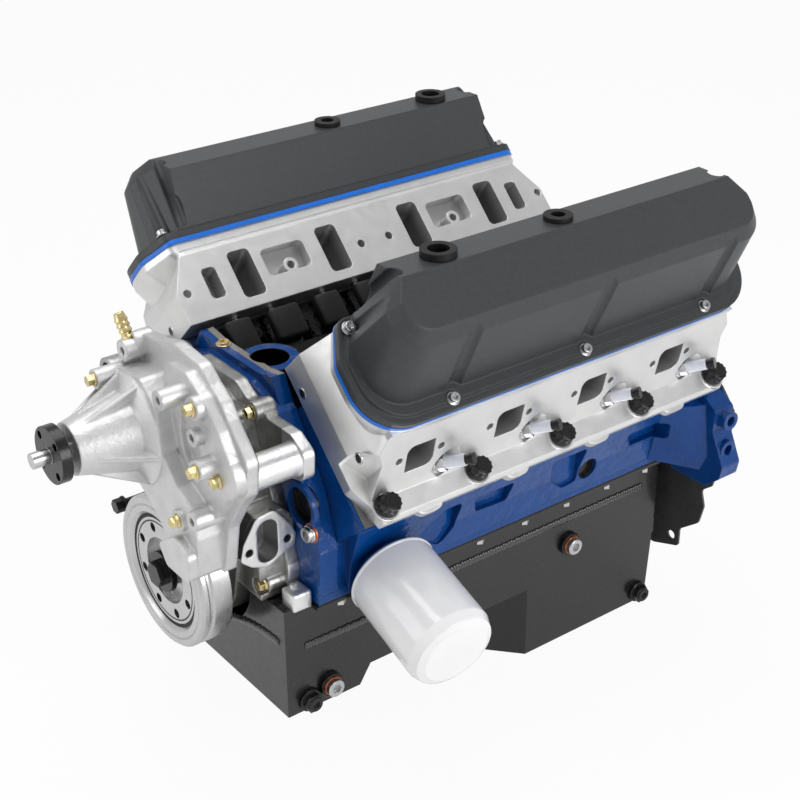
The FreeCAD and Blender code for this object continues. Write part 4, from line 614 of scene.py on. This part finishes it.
def solids_of(node):
    """The corner points of each separate solid in a CAD node."""
    shape = bmesh.new()
    shape.from_mesh(nodes[node].data)
    bmesh.ops.remove_doubles(shape, verts=shape.verts, dist=0.00001)
    left, groups = set(shape.verts), []
    for first in shape.verts:
        if first not in left:
            continue
        left.remove(first)
        group, queue = [], [first]
        while queue:
            vert = queue.pop()
            group.append(vert.co.copy())
            for edge in vert.link_edges:
                other = edge.other_vert(vert)
                if other in left:
                    left.remove(other)
                    queue.append(other)
        groups.append(group)
    shape.free()
    return groups


def seat_of(points, axis):
    """Middle of a solid's underside along an axis, and its height."""
    turn = Vector(axis).rotation_difference(Vector((0, 0, 1))).to_matrix()
    local = [turn @ p for p in points]
    lows = [min(p[i] for p in local) for i in range(3)]
    highs = [max(p[i] for p in local) for i in range(3)]
    seat = Vector(((lows[0] + highs[0]) / 2, (lows[1] + highs[1]) / 2, lows[2]))
    return turn.transposed() @ seat, highs[2] - lows[2]


def bank_up(x):
    """Direction square to the deck of the bank on that side."""
    return Vector((math.copysign(LEAN, x), 0, LEAN))


print("cover screws in the frame:", len(solids_of("cover_bolts")))

# %% [markdown]
# ## Cover screws
# Five zinc-plated socket screws hold each cover. A hexagonal key fits in the head,
# so the socket is a six-sided hole joined to the round rim by a bridge of faces,
# which keeps both outlines true. A washer spreads the load on the soft gasket.

# %% Socket screws on the covers
WASHER = [(0, 0), (0.0068, 0), (0.007, 0.0003), (0.007, 0.0012), (0.0066, 0.0016), (0, 0.0016)]
shapes = []
for solid in solids_of("cover_bolts"):
    axis = bank_up(solid[0].x)
    at, height = seat_of(solid, axis)
    shapes.append(stand(turned(WASHER), at, axis))
    shapes.append(stand(socket_cap(0.0053, height - 0.0016, 0.005, 0.003, base=0.0016), at, axis))
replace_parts(make("cover_screws", shapes, "bright_steel"), "cover_bolts")

# %% [markdown]
# ## Head bolts
# A head bolt is torqued hard, so it has a wide round flange and a twelve-point
# head. Twelve points are two hexagons turned by thirty degrees, and their top
# edges are bevelled so that each one catches a line of light.

# %% Twelve-point head bolts
FLANGE = [(0, 0), (0.0118, 0), (0.012, 0.0004), (0.012, 0.0026), (0.0108, 0.004), (0, 0.004)]
BOLT_TOP = [(0, -0.0004), (0.0072, -0.0004), (0.0076, 0.0003), (0.0066, 0.0004), (0.006, 0.0001), (0, 0.0001)]
shapes = []
for solid in solids_of("head_bolts"):
    axis = bank_up(solid[0].x)
    at, height = seat_of(solid, axis)
    shapes.append(stand(turned(FLANGE), at, axis))
    for spin in (0, 30):
        head = six_sided(0.0185, height - 0.003, 0.001, 0.003)
        bmesh.ops.rotate(head, verts=head.verts, matrix=Matrix.Rotation(math.radians(spin), 3, "Z"))
        shapes.append(stand(head, at, axis))
    shapes.append(stand(turned([(r, height + z) for r, z in BOLT_TOP]), at, axis))
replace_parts(make("head_bolt_heads", shapes, "black_steel"), "head_bolts")

# %% [markdown]
# ## Yellow zinc bolts and the hose barb
# The pump and the chain case are held by small flanged bolts in yellow zinc. The
# heater hose pushes over a barb: a tube whose rings are steep on one side, so that
# the hose slides on and can't slide off. A lathe outline gives the saw-tooth.

# %% Pump and chain case bolts
FORWARD = Vector((0, -1, 0))


def flanged_bolt(at, height, flats=0.0102, flange=0.0072):
    """A small flanged bolt whose axis points forward."""
    collar = turned([(0, 0), (flange - 0.0002, 0), (flange, 0.0003), (flange, 0.0011),
                     (0.0058, 0.0022), (0, 0.0022)])
    return [stand(collar, at, FORWARD), stand(six_sided(flats, height - 0.0016, 0.0008, 0.0016), at, FORWARD)]


def top_of(solid):
    """Height of a solid's highest point."""
    return max(point.z for point in solid)


fitting_solids = solids_of("pump_fittings")
barb_solid = max(fitting_solids, key=top_of)
shapes = []
for solid in [found for found in fitting_solids if found is not barb_solid] + solids_of("timing_cover_bolts"):
    shapes += flanged_bolt(*seat_of(solid, FORWARD))
BARB_AXIS = Vector((-0.4, -0.12, 0.9)).normalized()
at, height = seat_of(barb_solid, BARB_AXIS)
outline = [(0, 0), (0.0062, 0), (0.0062, 0.009), (0.0056, 0.0098)]
for k in range(3):
    rise = 0.0125 + 0.0056 * k
    outline += [(0.0058, rise), (0.0069, rise + 0.0008), (0.0057, rise + 0.0046)]
outline += [(0.0052, height - 0.0006), (0.0046, height), (0.0034, height), (0.003, height - 0.001),
            (0.003, height - 0.012), (0, height - 0.012)]
shapes.append(stand(turned(outline), at, BARB_AXIS))
shapes.append(stand(six_sided(0.015, 0.0085, 0.001), at, BARB_AXIS))
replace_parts(make("zinc_bolts", shapes, "brass"), "pump_fittings", "timing_cover_bolts")

# %% [markdown]
# ## Sealing plugs
# Pipe plugs close the oil and water holes. Each is turned, has a socket for a key
# and seals on a soft washer, in copper on the block and on the pan's bungs. The
# bungs are welded to the pan before it is painted, so they are black.

# %% Plugs in the block
COPPER_RING = [(0.004, 0), (0.0101, 0), (0.0105, 0.0004), (0.0105, 0.0016), (0.0101, 0.002), (0.004, 0.002)]
PLUG_COLLAR = [(0, 0.002), (0.0088, 0.002), (0.0092, 0.0026), (0.0088, 0.0042), (0, 0.0042)]
plugs, washers = [], []
for solid in solids_of("block_plugs"):
    at, height = seat_of(solid, FORWARD)
    washers.append(stand(turned(COPPER_RING), at, FORWARD))
    plugs.append(stand(turned(PLUG_COLLAR), at, FORWARD))
    plugs.append(stand(socket_cap(0.0078, height - 0.0042, 0.008, 0.004, base=0.0042, edge=0.0008), at, FORWARD))
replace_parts(make("block_socket_plugs", plugs, "bright_steel"), "block_plugs")
make("block_plug_washers", washers, "brass", dress=copper)

# %% Bungs, drain plugs and sensor fittings on the pan
SIDEWAYS = Vector((1, 0, 0))
DRAINS = (1, 2)
DRAIN_BUNG = [(0, 0), (0.0134, 0), (0.0138, 0.0006), (0.0138, 0.0044), (0.0128, 0.0056), (0, 0.0056)]
DRAIN_RING = [(0.004, 0.0056), (0.0106, 0.0056), (0.0109, 0.006), (0.0106, 0.0068), (0.004, 0.0068)]
SENSOR_BUNG = [(0, 0), (0.0128, 0), (0.013, 0.0006), (0.013, 0.003), (0.012, 0.004), (0, 0.004)]
SENSOR_END = [(0, -0.0045), (0.0036, -0.0045), (0.004, 0), (0.0078, 0), (0.0085, -0.001),
              (0.0085, -0.003), (0, -0.003)]
bungs, drains, rings = [], [], []
fittings = sorted((seat_of(solid, SIDEWAYS) for solid in solids_of("pan_plugs")), key=lambda found: found[0].y)
for number, (at, height) in enumerate(fittings):
    if number in DRAINS:
        plug = socket_cap(0.0098, height - 0.0068, 0.0095, 0.0045, base=0.0068, edge=0.001)
        bungs.append(stand(turned(DRAIN_BUNG), at, SIDEWAYS))
        rings.append(stand(turned(DRAIN_RING), at, SIDEWAYS))
        drains.append(stand(plug, at, SIDEWAYS))
    else:
        bungs.append(stand(turned(SENSOR_BUNG), at, SIDEWAYS))
        bungs.append(stand(six_sided(0.019, height - 0.0055, 0.001, 0.0035), at, SIDEWAYS))
        bungs.append(stand(turned([(r, height + z) for r, z in SENSOR_END]), at, SIDEWAYS))
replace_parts(make("pan_bungs", bungs, "black_steel"), "pan_plugs")
make("pan_drain_plugs", drains, "bright_steel")
make("pan_plug_washers", rings, "brass", dress=copper)

# %% [markdown]
# ## Weld beads on the pan
# The pan's deep sump is welded to its shallow upper band. A weld cools in ripples,
# like coins pushed over, so the bead is a row of flattened beads that overlap. One
# ripple has few faces, because there are hundreds of them.


# %% Rippled beads
def ripples(start, end, side, sag=(0, 0, 0), wide=0.0052, tall=0.0026, pitch=0.0036):
    """Overlapping ripples from one point to another, with a sag in the middle."""
    start, end, side = Vector(start), Vector(end), Vector(side).normalized()
    run = end - start
    count = max(2, int(run.length / pitch))
    out = []
    for k in range(count + 1):
        t = k / count
        at = start + run * t + Vector(sag) * (4 * t * (1 - t))
        drop = bmesh.new()
        bmesh.ops.create_uvsphere(drop, u_segments=8, v_segments=5, radius=1)
        along = run.normalized()
        across = side.cross(along)
        swell = wide * (1 + 0.12 * math.sin(k * 2.4))
        squash = Matrix((along * pitch * 0.85, across * swell, side * tall)).transposed()
        for vert in drop.verts:
            vert.co = squash @ vert.co + at
        out.append(drop)
    return out


pan_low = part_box("oil_pan")[0]
PAN_SIDE = fittings[0][0].x
BAND_LINE = ((-0.526, -0.052), (-0.450, -0.052), (-0.336, -0.037), (-0.060, -0.037))
shapes = []
for hand in (1, -1):
    side = hand * PAN_SIDE
    for (y0, z0), (y1, z1) in zip(BAND_LINE, BAND_LINE[1:]):
        shapes += ripples((side, y0, z0), (side, y1, z1), (hand, 0, 0))
    shapes += ripples((hand * 0.038, pan_low[1], -0.061), (hand * 0.121, pan_low[1], -0.044), FORWARD, (0, 0, 0.004))
make("pan_welds", shapes, "pan_paint", dress=weld_paint, sharp=60)

# %% [markdown]
# ## Pan corners and the locating boss
# The pan's flange turns in around its front corners, and closes the gap beside the
# chain case. A square lug stands above the left corner, where a bracket locates.
# Small bevels ease the upper edges of the sheets and of the lug.


# %% Corner sheets and the lug
def slab(low, high, radius, above):
    """A box between two corners, its edges above a height bevelled."""
    shape = bmesh.new()
    bmesh.ops.create_cube(shape, size=1)
    low, high = Vector(low), Vector(high)
    bmesh.ops.scale(shape, verts=shape.verts, vec=high - low)
    bmesh.ops.translate(shape, verts=shape.verts, vec=(low + high) / 2)
    edges = [e for e in shape.edges if ((e.verts[0].co + e.verts[1].co) / 2).z > above]
    soften(shape, edges, radius, 3)
    bmesh.ops.recalc_face_normals(shape, faces=shape.faces)
    return shape


shapes = []
for hand in (1, -1):
    inner, outer = hand * 0.074, hand * (PAN_SIDE - 0.0004)
    shapes.append(slab((min(inner, outer), pan_low[1] + 0.0003, -0.0062),
                       (max(inner, outer), FRONT_Y + 0.002, -0.0022), 0.0012, -0.003))
make("pan_corner_sheets", shapes, "pan_paint")
lug = slab((0.119, FRONT_Y - 0.025, -0.002), (0.141, FRONT_Y - 0.003, 0.0165), 0.0022, 0)
arm = slab((0.098, FRONT_Y - 0.013, -0.001), (0.128, FRONT_Y - 0.001, 0.013), 0.0018, 0)
make("locating_lug", [lug, arm], "cast_alloy", dress=front_casting)

# %% [markdown]
# ## Damper ring
# The outer ring of the damper is a heavy steel hoop on a rubber band. It is turned
# all over, so its face shows shallow grooves and a chamfer, and the rim has a
# groove too. The ring goes round with the crankshaft.

# %% Turned damper ring
ring_low, ring_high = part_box("damper_ring")
wide, deep = ring_high[0], ring_high[1] - ring_low[1]
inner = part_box("damper_elastomer")[1][0]
rear_edge = [(inner, 0), (wide - 0.0032, 0), (wide, 0.0022)]
rim_groove = [(wide, deep - 0.014), (wide - 0.002, deep - 0.012), (wide - 0.002, deep - 0.0095),
              (wide, deep - 0.0075)]
front_edge = [(wide, deep - 0.0028), (wide - 0.0028, deep)]
face_groove = [(wide - 0.0085, deep), (wide - 0.0092, deep - 0.001), (wide - 0.0100, deep - 0.001),
               (wide - 0.0107, deep)]
inner_edge = [(inner + 0.0035, deep), (inner + 0.0012, deep - 0.0022), (inner, deep - 0.004), (inner, 0)]
outline = rear_edge + rim_groove + front_edge + face_groove + inner_edge
ring = stand(turned(outline, 96), (0, ring_high[1], 0), FORWARD)
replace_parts(make("damper_hoop", [ring], "bright_steel", body="crank", dress=hoop_steel, sharp=24), "damper_ring")

# %% [markdown]
# ## Filter seam
# The filter's can is pressed over its base plate and rolled into a seam, which
# shows as a rounded bead by the mounting face. A lathe outline with a few steps is
# enough for it.

# %% Rolled seam of the filter can
FILTER_AXIS = Vector((0.966, -0.072, -0.247)).normalized()
FILTER_R, SEAM_BASE, SEAM_LENGTH, SEAM_RISE, STEPS = 0.047, 0.0044, 0.0038, 0.0012, 6
at = seat_of(solids_of("oil_filter")[0], FILTER_AXIS)[0]
outline = [(FILTER_R - 0.001, SEAM_BASE)]
for k in range(STEPS + 1):
    outline.append((FILTER_R + SEAM_RISE * math.sin(math.pi * k / STEPS), SEAM_BASE + SEAM_LENGTH * k / STEPS))
make("filter_seam", [stand(turned(outline, 64), at, FILTER_AXIS)], "white_enamel", sharp=60)

# %% [markdown]
# ## Gallery plug and the lifter boxes
# A brass plug closes the oil gallery on the deck ahead of the valley. Down in the
# valley stand black boxes with soft edges, two beside each cylinder, with the
# pushrods rising between them.

# %% Gallery plug
deck_at = Vector((-0.032, -0.503, DECK_Z + 0.0003))
collar = turned([(0, 0), (0.0075, 0), (0.0079, 0.0003), (0.0079, 0.0009), (0.0075, 0.0012), (0, 0.0012)])
cap = socket_cap(0.0062, 0.0024, 0.0066, 0.0018, base=0.0012)
make("gallery_plug", [stand(collar, deck_at), stand(cap, deck_at)], "brass")

# %% Lifter boxes
BANK_MIDDLE = {1: HEAD_MIDDLE + HALF_STAGGER, -1: HEAD_MIDDLE - HALF_STAGGER}
BOX_OUT, BOX_HIGH, BOX_EDGE = (-0.117, -0.102), (-0.046, -0.009), 0.0045
BOX_SPANS = ((-0.208, -0.171), (-0.149, -0.118))
shapes = []
for hand in (1, -1):
    for k in range(4):
        for first, last in BOX_SPANS:
            low, high = first + BORE_PITCH * k, last + BORE_PITCH * k
            size = Vector((BOX_OUT[1] - BOX_OUT[0], high - low, BOX_HIGH[1] - BOX_HIGH[0]))
            middle = Vector((sum(BOX_OUT) / 2, (low + high) / 2, sum(BOX_HIGH) / 2 + DECK_HEIGHT))
            box = bmesh.new()
            bmesh.ops.create_cube(box, size=1)
            bmesh.ops.scale(box, verts=box.verts, vec=size)
            soften(box, box.edges[:], BOX_EDGE, 3)
            bmesh.ops.translate(box, verts=box.verts, vec=middle)
            bmesh.ops.rotate(box, verts=box.verts, matrix=Matrix.Rotation(math.radians(45), 3, "Y"))
            if hand < 0:
                bmesh.ops.rotate(box, verts=box.verts, matrix=Matrix.Rotation(math.pi, 3, "Z"))
            bmesh.ops.translate(box, verts=box.verts, vec=(0, BANK_MIDDLE[hand], 0))
            shapes.append(box)
make("lifter_boxes", shapes, "rubber")

# %% [markdown]
# ## Plugs in the ends of the heads
# The casting core leaves holes in a head's end wall, which small cups close. Each
# has a bright rim around a dark hollow, so it is a turned ring around a sunk black
# disc, which is painted shade of the hollow.

# %% Head-end cups
CUP_RIM = [(0.0044, -0.001), (0.0044, 0.0006), (0.0052, 0.0008), (0.006, 0.0002), (0.006, -0.001), (0.0044, -0.001)]
CUP_FLOOR = [(0, -0.001), (0.0046, -0.001), (0.0046, 0.0005), (0.003, 0.0003), (0, 0.0003)]
END_WALL = 0.0037
rims, cup_shade_discs = [], []
for hand, out, high in ((1, 0.0073, 0.053), (1, -0.078, 0.010), (-1, -0.0626, 0.0142)):
    reach = DECK_HEIGHT + high
    head = "cylinder_head_left" if hand > 0 else "cylinder_head_right"
    at = Vector((hand * LEAN * (reach + out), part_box(head)[0][1] + END_WALL, LEAN * (reach - out)))
    rims.append(stand(turned(CUP_RIM), at, FORWARD))
    cup_shade_discs.append(stand(turned(CUP_FLOOR), at, FORWARD))
make("head_end_rims", rims, "bright_steel")
# the sunk discs are black as painted shade of each cup's hollow
make("head_end_cup_shade", cup_shade_discs, "black_steel")

# %% [markdown]
# ## Size, and the end
# The dressing must not grow the engine. The box of the bare frame was printed after
# loading, and the box of everything now visible is printed here.

# %% Write the sizes and finish
low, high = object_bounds()
print("visual box:", [round(v, 4) for v in low], [round(v, 4) for v in high])
